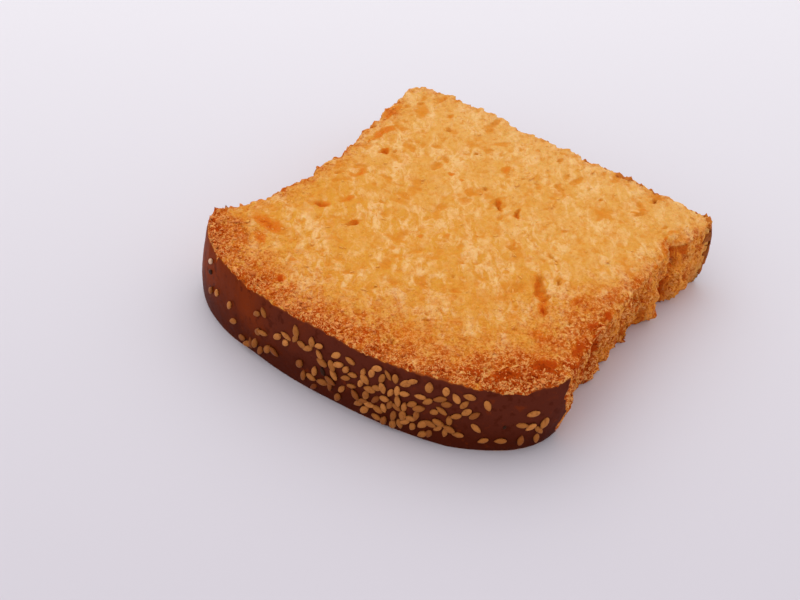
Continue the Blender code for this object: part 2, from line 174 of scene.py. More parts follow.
# Patches that toasted more than the crumb round them: x, y, length, width, turn, strength.
STAINS = (
    (43.4, -27.2, 8.6, 6.0, 60, 2.0),
    (38.4, -34.8, 8.0, 4.2, 40, 2.2),
    (32.5, -38.2, 7.0, 2.8, 20, 1.7),
    (45.0, -3.0, 4.0, 2.6, 80, 1.6),
    (44.5, -9.0, 7.0, 2.6, 100, 1.4),
    (-22.3, -38.2, 4.8, 3.8, 20, 1.5),
    (46.0, -18.0, 9.0, 3.2, 95, 1.5),
    (42.0, -31.5, 3.0, 2.0, 40, 1.2),
    (28.0, -39.5, 4.0, 1.8, 10, 1.0),
    (-46.5, -32.0, 5.0, 3.0, 60, 1.6),
    (-41.5, -29.8, 6.0, 3.6, -20, 0.95),
    (-38.0, -34.0, 4.0, 2.2, 150, 1.0),
    (-38.0, -22.8, 11.0, 5.4, -10, 1.05),
    (-44.0, -28.0, 5.0, 3.0, 40, 0.6),
    (36.8, -19.5, 7.0, 4.2, -10, 0.95),
    (36.5, -3.8, 3.6, 2.8, 40, 1.0),
    (-33.0, -8.3, 4.8, 3.2, 15, 0.9),
    (-22.2, -10.0, 1.8, 1.3, 0, 1.1),
    (-34.6, 18.4, 3.0, 2.4, 0, 0.95),
    (-33.5, 7.5, 6.0, 2.4, 85, 0.7),
    (-29.2, -3.4, 4.6, 2.2, 80, 0.7),
    (-36.0, -28.6, 7.0, 3.0, -40, 1.0),
    (13.0, -36.5, 8.0, 5.0, 0, 0.5),
    (-38.0, 40.0, 12.0, 5.0, -50, 0.35),
    (-10.0, -8.8, 8.0, 2.6, 0, 0.4),
    (-30.5, 42.2, 2.6, 2.0, 0, 0.55),
    (1.6, 17.0, 7.0, 1.6, -58, 1.1),
    (7.2, 16.4, 4.6, 1.6, -50, 0.9),
    (-7.0, 17.0, 4.0, 2.4, -40, 0.4),
    (-5.0, 29.8, 4.6, 2.0, -40, 0.6),
    (43.0, 28.0, 9.0, 2.0, -62, 0.9),
    (45.2, 17.0, 9.0, 2.6, -62, 1.1),
    (4.8, 3.0, 2.4, 1.6, 0, 0.6),
    (12.8, 6.0, 2.4, 1.2, -50, 0.6),
    (-11.5, 20.0, 2.0, 1.5, 0, 0.7),
    (-15.6, 20.2, 1.9, 1.3, 0, 0.7),
    (30.2, 36.0, 3.0, 1.5, 60, 0.6),
    (29.0, 33.6, 2.2, 1.2, 0, 0.5),
    (23.5, 29.0, 8.0, 3.0, 10, 0.4),
    (-40.0, 24.5, 13.0, 3.2, 82, 0.8),
    (-44.5, 34.5, 12.0, 3.6, 95, 0.7),
    (-35.0, 5.5, 4.6, 2.8, 0, 0.45),
    (-40.5, 7.0, 5.0, 3.0, 80, 0.4),
    (13.0, -17.0, 3.6, 1.5, 5, 0.5),
    (-6.3, -4.6, 2.2, 1.6, 0, 0.6),
    (-1.2, -1.2, 1.8, 1.3, 0, 0.5),
    (-20.5, -18.5, 5.0, 2.6, -5, 0.35),
    (-24.0, -30.5, 3.0, 2.0, 30, 0.55),
    (12.0, -34.0, 6.0, 4.0, 0, 0.35),
    (-13.5, -31.0, 3.0, 1.8, 0, 0.4),
    (13.5, -30.6, 1.5, 1.1, 0, 0.9),
    (28.4, -6.0, 18.0, 3.2, -51, 1.0),
    (32.0, -11.0, 6.5, 3.0, -51, 1.3),
    (30.2, -8.4, 6.5, 2.4, -51, 1.1),
    (47.5, -12.5, 12.0, 3.0, 95, 1.6),
    (48.8, -20.0, 8.0, 2.6, 95, 1.5),
    (-29.0, -4.6, 3.0, 2.0, 0, 0.4),
    (42.0, 33.0, 4.0, 2.4, 90, 0.45),
    (38.0, 15.0, 3.0, 2.0, 0, 0.35),
    (-10.0, -9.5, 6.0, 2.0, 5, 0.35),
    (22.0, -13.0, 7.0, 3.0, 10, 0.30),
)

# Cells scattered at random: seed, how many to a square millimetre, the smallest and largest
# width, and the depth for each unit of width.
CUT_SCATTERS = (
    (21, 0.30, 0.9, 3.4, 0.24),
    (23, 0.9, 0.5, 1.1, 0.25),
    (25, 0.011, 0.9, 1.7, 0.85),
)
SIDE_SCATTERS = (
    (22, 0.20, 1.2, 4.5, 0.5),
    (24, 1.0, 0.6, 1.4, 0.5),
)
SMALL_CELLS = 1.3  # the higher, the more of the scattered cells are small
CELL_STRETCH = (1.0, 2.1)  # a scattered cell's length for its width
CELL_DEPTHS = (0.25, 1.0)  # a scattered cell's share of its full depth
CELL_STRAY = 0.5  # how far the cells stray from their common turn, in radians
CRUMB_FLOW = math.radians(-52)  # the way the crumb is drawn out, seen from above
FLOW_SWING = 1.1  # how far that way swings about, in radians
FLOW_LENGTH = 30 * MM
CELL_BOWL = 0.9  # below 1 the cells have steep sides, above it soft ones
SLIT_BOWL = 0.4

# The relief of the torn sides and of the frayed edge by the base crust.
WARP_DEPTH = 0.8 * MM  # how far round cells are bent out of shape
WARP_LENGTH = 3.2 * MM
WALL_DEPTH = 2.4 * MM
WALL_LENGTH = 4.2 * MM
WALL_LEVEL = 0.35  # the higher, the wider the walls between the torn cells
CELL_FOLLOW = 0.8  # the share of a torn cell's depth that the edge follows
FINE_DEPTH = 0.20 * MM
FINE_LENGTH = 1.0 * MM
FRAYED_DEPTH = 0.9 * MM
FRAYED_SUNK = 0.4 * MM
FRAYED_LENGTH = 3.4 * MM
UPRIGHT = 0.3  # how wide the edge's noise is for its height, and for its reach into the cut
HOLLOW_CELL = 0.45  # how much of a torn cell's depth counts in its hollow, which the crumb's finish paints as shade and which nibbles the upper rim
HOLLOW_WALL = 1.6 * MM

# The relief of the upper cut.
COARSE_DEPTH = 0.20 * MM
COARSE_LENGTH = 4.0 * MM
CRISP_DEPTH = (0.06, 0.34)  # mm, on the pale cut, and what full toasting adds
CRISP_LENGTH = 0.9 * MM
FRAY_DEPTH = 0.35 * MM
FRAY_LENGTH = 1.6 * MM
FRAY_REACH = 7 * MM
NIBBLED_DEPTH = 0.5 * MM
NIBBLED_REACH = 1.8 * MM

# The toasting: how far it reaches in from the dome, how much farther at the right end, and
# how much darker it is there.
TOAST_REACH = 7.5 * MM
TOAST_FARTHER = 6 * MM
TOAST_DARKER = 0.55
TOAST_DRIFT = 2.2 * MM  # how far its border wanders
EDGE_DRIFT = 1.2 * MM
TOAST_LENGTH = 10 * MM
TOAST_MOST = 1.2

# The seeds fell in drifts: x, height, spread in x, spread in height, and number. The first
# is the one hulled seed.
DRIFTS = (
    (-41.7, 16.2, 0.1, 0.1, 1),
    (-40.0, 9.5, 2.0, 2.4, 2),
    (-31.5, 6.0, 1.6, 2.4, 3),
    (-23.0, 4.8, 2.6, 2.2, 5),
    (-20.5, 14.5, 0.9, 2.2, 4),
    (-12.0, 12.0, 2.4, 2.8, 6),
    (-8.5, 4.6, 3.2, 2.2, 5),
    (-2.5, 8.5, 2.8, 4.4, 10),
    (5.0, 8.0, 3.0, 4.4, 16),
    (13.0, 8.0, 3.0, 4.2, 21),
    (19.5, 9.0, 3.0, 4.8, 22),
    (27.5, 9.5, 2.2, 4.4, 11),
    (34.5, 12.5, 2.0, 3.4, 8),
    (38.5, 3.4, 1.6, 1.2, 2),
    (45.4, 9.5, 1.6, 3.2, 7),
)
SEED_LENGTH = 3.0 * MM
SEED_SIZES = (0.88, 1.08)  # the smallest and largest seed, as shares of the usual one
SEED_LEAN = (50, 42)  # the usual turn from level, and its spread, in degrees
SEED_TAPER = 0.9
SEED_GAP = 1.8 * MM  # the least distance between two seeds' middles
SEED_EDGE = 2.0 * MM  # from each cut to the nearest seed's middle
SEED_REACH = 0.98  # the share of the way to each shoulder where seeds lie
SEED_TILT = (0.14, 0.08)  # how far a seed rolls and pitches on the crust, in radians
SEED_LIFT = (-0.1, 0.15)  # the lowest and highest seed, as shares of its thickness
SEED_WIDTHS = (0.86, 1.08)  # the narrowest and widest seed, as shares of the usual one
SEED_DEPTHS = (0.85, 1.15)
HULLED = 3.0  # how pale a seed is: 0 brown, 1 toasted, 2 light and 3 hulled
PALENESS = (1.0, 1.5, 0.55)  # the usual paleness, its rise from bottom to top, and its spread
PALEST = 2.4  # no seed with its coat is paler

# The few black seeds: x, height, turn in degrees from level, and size.
DARK_SEEDS = ((-41.5, 13.4, 35, 0.73), (-1.8, 8.6, 110, 0.73), (41.2, 8.6, 60, 0.4))
DARK_WIDTH = 1.7 * MM
DARK_DEPTH = 1.1 * MM
DARK_TAPER = 0.4

# One number for each thing that is drawn at random.
SWIRL_DRAW = 11
WARP_DRAW = 12
ROUGH_DRAW = 13
RIM_DRAW = 31
SEED_DRAW = 7
GRAIN_DRAW = 41

# How finely each piece is meshed.
CRUMB_CELL = 0.80 * MM  # the upper cut and the torn sides halve it
CRUST_CELL = 0.45 * MM
MAP_STEP = 0.12 * MM
MAP_BOX = ((-54 * MM, -52 * MM), (54 * MM, 54 * MM))
UNDER_CRUST = 0.22 * MM  # the crumb ends this far inside the crust
CURVE_STEPS = 80  # points along each curve of the outline
SEED_SIDES, SEED_RINGS = 16, 10
CLEAR = 10 * MM  # a start well outside the slice
AT_ONCE = 4000  # points worked on at once


# ---- Small sums --------------------------------------------------------------------------


def smooth_step(t):
    t = np.clip(t, 0.0, 1.0)
    return t * t * (3.0 - 2.0 * t)


def fade(value, start, stop):
    """0 at start and 1 at stop, smoothly."""
    return smooth_step((value - start) / (stop - start))


def shared_noise(points, length):
    """The noise that the solid's relief has too, one value for each point."""
    return np.array([noise.noise(Vector(p)) for p in (points / length).tolist()])


class Grain:
    """Smooth seeded noise between -1 and 1, worked out for many points at once."""

    SIZE = 32

    def __init__(self, seed):
        self.values = np.random.default_rng(seed).uniform(-1, 1, (self.SIZE,) * 3)

    def once(self, points, length):
        scaled = points / length
        low = np.floor(scaled).astype(int)
        t = smooth_step(scaled - low)
        total = np.zeros(len(points))
        for corner in range(8):
            step = np.array([corner & 1, corner >> 1 & 1, corner >> 2 & 1])
            weight = np.prod(np.where(step, t, 1 - t), axis=1)
            i, j, k = ((low + step) % self.SIZE).T
            total += weight * self.values[i, j, k]
        return total

    def __call__(self, points, length, octaves=1, gain=0.5):
        total = np.zeros(len(points))
        for octave in range(octaves):
            total += gain**octave * self.once(points + 0.37 * octave * length, length / 2**octave)
        return total


# ---- The outline -------------------------------------------------------------------------


def of_side(pair, x):
    """The left or the right value of a pair."""
    return pair[1] if x > 0 else pair[0]


def half_width(side, y):
    """From the middle to the side at y, below the shoulders. side is -1 or 1."""
    shoulder, waist, foot = (of_side(pair, side) for pair in (SHOULDER, WAIST, FOOT))
    shoulder_y = SHOULDER_Y + DOME_SKEW * side * shoulder
    pinched = (shoulder - waist) * math.exp((shoulder_y - y) / of_side(PINCH, side))
    return waist + pinched + (foot - waist) * smooth_step((y - WAIST_Y) / (FOOT_Y - WAIST_Y))


def dome_point(angle):
    """A point of the domed outline, angle 0 at the crown and +-90 degrees at the shoulders."""
    power = 2 / DOME_SQUARENESS
    x = math.copysign(abs(math.sin(angle)) ** power, angle) * of_side(SHOULDER, angle)
    return (x, SHOULDER_Y - DOME_RISE * max(math.cos(angle), 0.0) ** power + DOME_SKEW * x)


def dome_angle(x):
    """The angle of the dome's point at x."""
    share = min(abs(x) / of_side(SHOULDER, x), 1.0)
    return math.copysign(math.asin(share ** (DOME_SQUARENESS / 2)), x)


def dome_outward(angle):
    """The level direction straight out of the dome at this angle."""
    before, after = dome_point(angle - 0.01), dome_point(angle + 0.01)
    return Vector((after[1] - before[1], before[0] - after[0], 0)).normalized()


def foot_y(x):
    return FOOT_Y + FOOT_SKEW * x


def corner_arc(side, start, stop):
    """Part of a foot corner's arc, in degrees, 0 where it leaves the side and 90 at the base."""
    reach = half_width(side, FOOT_Y - FOOT_RADIUS)
    centre = (side * (reach - FOOT_RADIUS), foot_y(side * reach) - FOOT_RADIUS)
    angles = np.radians(np.linspace(start, stop, CURVE_STEPS))
    return [
        (centre[0] + side * FOOT_RADIUS * math.cos(a), centre[1] + FOOT_RADIUS * math.sin(a))
        for a in angles
    ]


def dome_arc(start, stop):
    return [dome_point(a) for a in np.linspace(start, stop, CURVE_STEPS)]


def side_curve(side):
    """From the dome's plan corner, round the shoulder and down the side to its foot."""
    dome = dome_arc(side * PLAN_CORNER, side * math.pi / 2)
    last = corner_arc(side, 0, FOOT_CORNER)
    levels = np.linspace(dome[-1][1], last[0][1], CURVE_STEPS)
    flank = [(side * half_width(side, y), y) for y in levels]
    return dome + flank[1:-1] + last


def front_curve():
    return dome_arc(-PLAN_CORNER, PLAN_CORNER)


def back_curve():
    return corner_arc(-1, FOOT_CORNER, 90) + corner_arc(1, 90, FOOT_CORNER)


def resampled(points, count):
    """The curve through these points as count equal steps."""
    points = np.array(points)
    along = np.concatenate([[0], np.cumsum(np.linalg.norm(np.diff(points, axis=0), axis=1))])
    at = np.linspace(0, along[-1], count + 1)
    return np.stack([np.interp(at, along, points[:, k]) for k in range(2)], axis=1)


class Outline:
    """The slice's edge as one loop, by its length s from the left end of the front curve."""

    FINE = 2000

    def __init__(self):
        curves = [front_curve(), side_curve(1), back_curve()[::-1], side_curve(-1)[::-1]]
        self.loop = np.concatenate([resampled(c, self.FINE)[:-1] for c in curves])
        run = np.roll(self.loop, -1, axis=0) - np.roll(self.loop, 1, axis=0)
        self.normals = np.stack([run[:, 1], -run[:, 0]], axis=1)
        self.normals /= np.linalg.norm(self.normals, axis=1)[:, None]
        steps = np.linalg.norm(np.roll(self.loop, -1, axis=0) - self.loop, axis=1)
        self.s = np.concatenate([[0], np.cumsum(steps)[:-1]])
        self.length = steps.sum()
        self.tree = kdtree.KDTree(len(self.loop))
        for i, (x, y) in enumerate(self.loop.tolist()):
            self.tree.insert((x, y, 0), i)
        self.tree.balance()

    def nearest(self, points):
        """The index on the loop nearest each point, and how far away it is."""
        found = [self.tree.find((x, y, 0)) for x, y in points[:, :2].tolist()]
        return np.array([f[1] for f in found]), np.array([f[2] for f in found])

    def index_near(self, x, y):
        return self.tree.find((x, y, 0))[1]

    def at(self, s):
        """The places and outward normals at these lengths."""
        s = s % self.length
        count = len(self.loop)
        index = np.interp(s, self.s, np.arange(count))
        low = np.floor(index).astype(int)
        t = (index - low)[:, None]
        high = (low + 1) % count
        place = (1 - t) * self.loop[low] + t * self.loop[high]
        return place, (1 - t) * self.normals[low] + t * self.normals[high]


# ---- The relief --------------------------------------------------------------------------


def torn_share(x, y):
    """1 on a torn side, 0 on the dome's crust and on the base crust."""
    below_dome = smooth_step((y - TORN_FROM) / TORN_EDGE)
    return below_dome * smooth_step((foot_y(x) - FOOT_RADIUS - y) / TORN_EDGE)


def cleft_depth(side, y, z):
    """How deep the clefts of a torn side are at y and z."""
    depth = np.zeros(len(y))
    for at_side, at, height, width, tall, deep, lean in CLEFTS:
        up = (z - height * MM) / (tall * MM / 2)
        across = (y - at * MM - lean * (z - height * MM)) / (width * MM / 2)
        shape = np.exp(-(across**2) - up**CLEFT_SHARPNESS)
        depth += np.where(side == at_side, deep * MM * shape, 0.0)
    return depth


def torn_relief(x, y, z):
    """How far a torn side stands out of its plan, negative in the clefts."""
    side = np.where(x > 0, 1, -1)
    tall = LUMP_TALLNESS * LUMP_LENGTH
    places = np.stack([LUMP_APART * side, y / LUMP_LENGTH, z / tall], axis=1)
    share = 1 - (1 - LUMP_AT_TOP) * smooth_step(2 * z / THICKNESS - 1)
    rim = np.abs(2 * z / THICKNESS - 1) ** RIM_SHARPNESS
    lumps = LUMP_DEPTH * share * shared_noise(places, 1.0)
    return lumps - cleft_depth(side, y, z) - RIM_WEAR * rim


def crust_relief(x, y, z):
    """The smooth crust's barrel and its slow waves."""
    barrel = BARREL * (1 - (2 * z / THICKNESS - 1) ** 2)
    return barrel + CRUST_WAVE * shared_noise(np.stack([x, y, z], axis=1), CRUST_WAVE_LENGTH)


def undercut(x, y, z):
    """How far the edge is drawn in at this height."""
    turned, inset = zip(*UNDERCUT)
    full = np.interp(np.degrees(np.arctan2(x, -y)), turned, inset) * MM
    return full * (1 - np.clip(z / THICKNESS, 0, 1)) ** UNDERCUT_CURVE


class CellMap:
    """A cut through open crumb: how deep each place lies in the deepest cell there."""

    def __init__(self, low, high):
        self.low = np.array(low)
        self.shape = np.ceil((np.array(high) - self.low) / MAP_STEP).astype(int) + 2
        self.depth = np.zeros(self.shape)

    def stamp(self, x, y, length, width, turn, depth, bowl=CELL_BOWL):
        """One cell, an ellipsoid cut through its middle."""
        reach = max(length, width) / 2
        corner = np.array((x, y)) - self.low
        first = np.maximum((corner - reach) / MAP_STEP, 0).astype(int)
        last = np.minimum((corner + reach) / MAP_STEP + 2, self.shape).astype(int)
        if (last <= first).any():
            return
        px = self.low[0] + MAP_STEP * np.arange(first[0], last[0])[:, None] - x
        py = self.low[1] + MAP_STEP * np.arange(first[1], last[1])[None, :] - y
        along = (math.cos(turn) * px + math.sin(turn) * py) / (length / 2)
        across = (math.cos(turn) * py - math.sin(turn) * px) / (width / 2)
        inside = np.clip(1 - along * along - across * across, 0, 1)
        window = self.depth[first[0] : last[0], first[1] : last[1]]
        np.maximum(window, depth * inside**bowl, out=window)

    def scatter(self, seed, per_mm2, small, large, deep, turn_of):
        """Cells at random, many small and few large. deep is depth for each unit of width."""
        draw = np.random.default_rng(seed)
        size = (self.shape - 2) * MAP_STEP
        count = int(per_mm2 * size[0] * size[1] / MM**2)
        spots = self.low + draw.uniform(0, 1, (count, 2)) * size
        share = draw.uniform(0, 1, count)
        most, least = small**-SMALL_CELLS, large**-SMALL_CELLS
        widths = (most + share * (least - most)) ** (-1 / SMALL_CELLS)
        stretch = draw.uniform(*CELL_STRETCH, count)
        turns = turn_of(spots) + draw.normal(0, CELL_STRAY, count)
        depths = widths * deep * draw.uniform(*CELL_DEPTHS, count)
        for spot, width, longer, turn, depth in zip(spots, widths, stretch, turns, depths):
            self.stamp(spot[0], spot[1], width * longer, width, turn, depth)

    def at(self, points):
        """The depth at each point, read between the map's cells."""
        scaled = np.clip((points[:, :2] - self.low) / MAP_STEP, 0, self.shape - 1.001)
        low = scaled.astype(int)
        t = scaled - low
        total = np.zeros(len(points))
        for dx, dy in ((0, 0), (1, 0), (0, 1), (1, 1)):
            weight = (t[:, 0] if dx else 1 - t[:, 0]) * (t[:, 1] if dy else 1 - t[:, 1])
            total += weight * self.depth[low[:, 0] + dx, low[:, 1] + dy]
        return total


class Relief:
    """Where each point of the plain slab goes, and what the finish needs to know there."""

    def __init__(self):
        self.outline = Outline()
        self.swirl = Grain(SWIRL_DRAW)
        self.warp = Grain(WARP_DRAW)
        self.rough = Grain(ROUGH_DRAW)
        self.upper = self.cut_cells()
        self.side = self.side_cells()
        self.stains = self.stained()
        self.loop_sample = np.arange(0, len(self.outline.loop), 12)

    def flow(self, spots):
        """The way the cells are drawn out at these spots, as an angle."""
        spots = np.column_stack([spots, np.zeros(len(spots))])
        return CRUMB_FLOW + FLOW_SWING * self.swirl(spots, FLOW_LENGTH, octaves=2)

    def cut_cells(self):
        """The cells of the upper cut, by place in the plan."""
        cells = CellMap(*MAP_BOX)
        for seed, per_mm2, small, large, deep in CUT_SCATTERS:
            cells.scatter(seed, per_mm2, small * MM, large * MM, deep, self.flow)
        for i, (x, y, length, width, turn, depth) in enumerate(CELLS):
            turn, bowl = math.radians(turn), CELL_BOWL if i else SLIT_BOWL
            cells.stamp(x * MM, y * MM, length * MM, width * MM, turn, depth * MM, bowl)
        return cells

    def stained(self):
        """How strongly each place of the upper cut has toasted in patches."""
        stains = CellMap(*MAP_BOX)
        for x, y, length, width, turn, strength in STAINS:
            turn = math.radians(turn)
            stains.stamp(x * MM, y * MM, length * MM, width * MM, turn, strength)
        return stains

    def side_cells(self):
        """The cells of the torn sides, by length along the edge and height."""
        cells = CellMap((0, -2 * MM), (self.outline.length, THICKNESS + 3 * MM))
        for seed, per_mm2, small, large, deep in SIDE_SCATTERS:
            cells.scatter(seed, per_mm2, small * MM, large * MM, deep, lambda spots: math.pi / 2)
        return cells

    def warped(self, points):
        """The points moved a little about, so that round cells come out irregular."""
        moved = points.copy()
        for axis in range(2):
            shift = np.array([7.0, 3.0, 5.0]) * (axis + 1) * MM
            moved[:, axis] += WARP_DEPTH * self.warp(points + shift, WARP_LENGTH, 4, 0.62)
        return moved

    def edge_relief(self, place, s, z):
        """How far the edge stands out of its plan at each place, and how torn it is there."""
        x, y = place[:, 0], place[:, 1]
        torn = torn_share(x, y)
        on_edge = np.column_stack([s, z, np.zeros(len(s))])
        bent = self.warped(on_edge)
        cells = self.side.at(bent)
        tall = np.column_stack([bent[:, 0], UPRIGHT * z, np.zeros(len(s))])
        wall = self.rough(tall, WALL_LENGTH, octaves=4, gain=0.62)
        plates = WALL_LEVEL - np.abs(wall)  # sharp upright walls between the torn cells
        fine = self.rough(on_edge, FINE_LENGTH, octaves=3, gain=0.6)
        below = 1 - 0.75 * smooth_step(4 * z / THICKNESS - 3)  # the cut keeps its rim straighter
        rough = below * (WALL_DEPTH * plates - CELL_FOLLOW * cells) + FINE_DEPTH * fine
        rough += torn_relief(x, y, z)
        upper_half = smooth_step(2 * z / THICKNESS - 1)
        frayed = self.rough(tall, FRAYED_LENGTH, octaves=5, gain=0.72) * upper_half
        smooth = crust_relief(x, y, z) - UNDER_CRUST
        smooth += (FRAYED_DEPTH * frayed - FRAYED_SUNK) * (y > 0)
        relief = torn * rough + (1 - torn) * smooth - undercut(x, y, z)
        clefts = np.clip(cleft_depth(np.where(x > 0, 1, -1), y, z), 0, None)
        # The torn sides' hollows: the crumb's finish paints shade into them through the pit mark,
        # and they nibble the upper rim.
        hollow = HOLLOW_CELL * (cells + clefts) + np.clip(-HOLLOW_WALL * plates, 0, None)
        return relief, torn, hollow * torn

    def inner_shift(self, points, distance, z):
        """How far the edge's relief pulls points of a cut face, evened out away from the edge."""
        at = self.loop_sample
        place, normal = self.outline.loop[at], self.outline.normals[at]
        relief, _, _ = self.edge_relief(place, self.outline.s[at], np.full(len(at), z))
        pulls = normal * relief[:, None]
        shift = np.zeros((len(points), 2))
        for start in range(0, len(points), AT_ONCE):
            part = slice(start, start + AT_ONCE)
            gap = np.linalg.norm(points[part, None, :2] - place[None], axis=2)
            reach = 0.4 * MM + 0.5 * distance[part, None]
            weight = np.exp(-((gap - distance[part, None]) / reach))
            shift[part] = weight @ pulls / weight.sum(axis=1)[:, None]
        return shift

    def move(self, points):
        """The moved points, and the pores and toasting of the crumb at each of them."""
        index, distance = self.outline.nearest(points)
        place, normal = self.outline.loop[index], self.outline.normals[index]
        s, z = self.outline.s[index], points[:, 2]
        near = distance < 2.5 * RIM_FOLLOW
        relief, torn, side_depth = (np.zeros(len(points)) for _ in range(3))
        relief[near], torn[near], side_depth[near] = self.edge_relief(
            place[near], s[near], z[near]
        )
        shift = normal * relief[:, None]
        for level in (0.0, THICKNESS):
            inner = near & (np.abs(z - level) < 0.01 * MM) & (distance > 0.5 * MM)
            even = self.inner_shift(points[inner], distance[inner], level)
            share = fade(distance[inner], 0.5 * MM, 2.5 * MM)[:, None]
            shift[inner] = (1 - share) * shift[inner] + share * even
        moved = points.copy()
        moved[:, :2] += shift * np.exp(-((distance / RIM_FOLLOW) ** 2))[:, None]

        flat = np.column_stack([points[:, :2], np.zeros(len(points))])
        to_crust = self.distance_to_crust(points)
        toast = self.toasting(points, distance, to_crust)
        pores = self.upper.at(self.warped(flat))
        coarse = self.rough(flat, COARSE_LENGTH, octaves=4, gain=0.6)
        crisp = self.rough(flat + 9 * MM, CRISP_LENGTH, octaves=2, gain=0.8)
        strands = np.column_stack([s, UPRIGHT * distance, np.zeros(len(s))])
        fray = self.rough(strands, FRAY_LENGTH, octaves=4, gain=0.65)
        toast *= 1 + 0.5 * fray * np.exp(-distance / FRAY_REACH)
        crisp_depth = (CRISP_DEPTH[0] + CRISP_DEPTH[1] * toast) * MM
        pores = pores * (0.85 + 0.45 * self.swirl(flat, 5.0 * MM, octaves=4, gain=0.7))
        sunk = pores * (0.55 + 0.45 * fade(pores, 0.5 * MM, 1.2 * MM))
        wave = UNEVEN * shared_noise(flat, UNEVEN_LENGTH)
        worn = torn * RIM_WEAR * np.exp(-distance / RIM_WEAR_LENGTH)
        at_rim = torn * np.exp(-distance / NIBBLED_REACH)
        nibbled = at_rim * (0.6 * side_depth + NIBBLED_DEPTH)
        top = THICKNESS + WEDGE * points[:, 0] + wave - worn - nibbled - sunk
        top += COARSE_DEPTH * coarse + crisp_depth * crisp + FRAY_DEPTH * toast * fray
        below = 0.5 * np.clip(self.upper.at(self.warped(flat[:, [1, 0, 2]])) - 0.4 * MM, 0, None)
        share = z / THICKNESS
        moved[:, 2] = np.where(share > 0, share * top, below)
        on_top = fade(share, 0.97, 1.0)
        # The pit mark: how deep each place lies in a cell or a torn hollow, which the crumb's
        # finish paints as shade.
        pit = on_top * pores + (1 - on_top) * side_depth
        marks = {"pit": pit / MM, "toast": toast, "torn": torn * (1 - on_top)}
        marks["stain"] = on_top * self.stains.at(self.warped(flat))
        beyond_middle = fade(points[:, 1], -6 * MM, 20 * MM)
        by_base = fade(points[:, 1], 28 * MM, 48 * MM)
        marks["far"] = 0.5 * (beyond_middle + by_base)
        return moved - MIDDLE, marks

    def distance_to_crust(self, points):
        """How far each point is from the dome's crust, measured in from the dome."""
        x = points[:, 0]
        reach = np.where(x > 0, SHOULDER[1], SHOULDER[0])
        share = np.clip(1 - np.abs(x / reach) ** DOME_SQUARENESS, 0, 1)
        dome_y = SHOULDER_Y - DOME_RISE * share ** (1 / DOME_SQUARENESS) + DOME_SKEW * x
        index, distance = self.outline.nearest(points)
        on_dome = self.outline.loop[index, 1] < TORN_FROM
        return np.where(on_dome, distance, np.maximum(points[:, 1] - dome_y, distance))

    def toasting(self, points, distance, to_crust):
        """How brown the crumb has toasted, from 0 to 1."""
        flat = np.column_stack([points[:, :2], np.zeros(len(points))])
        drift = self.swirl(flat + 5 * MM, TOAST_LENGTH, octaves=6, gain=0.72)
        right = points[:, 0] > 0
        right_end = fade(points[:, 0], 12 * MM, 42 * MM)
        reach = TOAST_REACH + TOAST_FARTHER * right_end
        deep = np.clip(to_crust + TOAST_DRIFT * drift, 0, None)
        by_crust = (1 + TOAST_DARKER * right_end) * np.exp(-((deep / reach) ** 1.05))
        to_far = fade(points[:, 1], -14 * MM, 20 * MM)
        at_foot = 1 - 0.6 * fade(points[:, 1], 34 * MM, 46 * MM)
        side_toast = np.where(right, 1.0 - 0.6 * to_far, 0.60 - 0.15 * to_far) * at_foot
        side_reach = np.where(right, 11.0 - 8.0 * to_far, 3.6) * MM
        from_edge = np.clip(distance + EDGE_DRIFT * drift, 0, None)
        by_edge = side_toast * np.exp(-from_edge / side_reach)
        return np.clip(np.maximum(by_crust, by_edge), 0, TOAST_MOST)


RELIEF = Relief()


# ---- Node trees as expressions -----------------------------------------------------------


class Level:
    """A number that changes over a surface. Sums on it add Math nodes to its finish."""

    def __init__(self, finish, socket):
        self.finish = finish
        self.socket = socket

    def _sum(self, operation, first, second):
        made = self.finish.node("ShaderNodeMath", {"operation": operation}, {0: first, 1: second})
        return Level(self.finish, made.outputs[0])

    def __add__(self, other):
        return self._sum("ADD", self, other)

    __radd__ = __add__

    def __sub__(self, other):
        return self._sum("SUBTRACT", self, other)

    def __rsub__(self, other):
        return self._sum("SUBTRACT", other, self)

    def __mul__(self, other):
        return self._sum("MULTIPLY", self, other)

    __rmul__ = __mul__

    def between(self, low, high):
        """0 where this is at low, 1 where it is at high, smoothly in between."""
        made = self.finish.node(
            "ShaderNodeMapRange",
            {"interpolation_type": "SMOOTHSTEP", "clamp": True},
            {"Value": self, "From Min": low, "From Max": high},
        )
        return Level(self.finish, made.outputs["Result"])


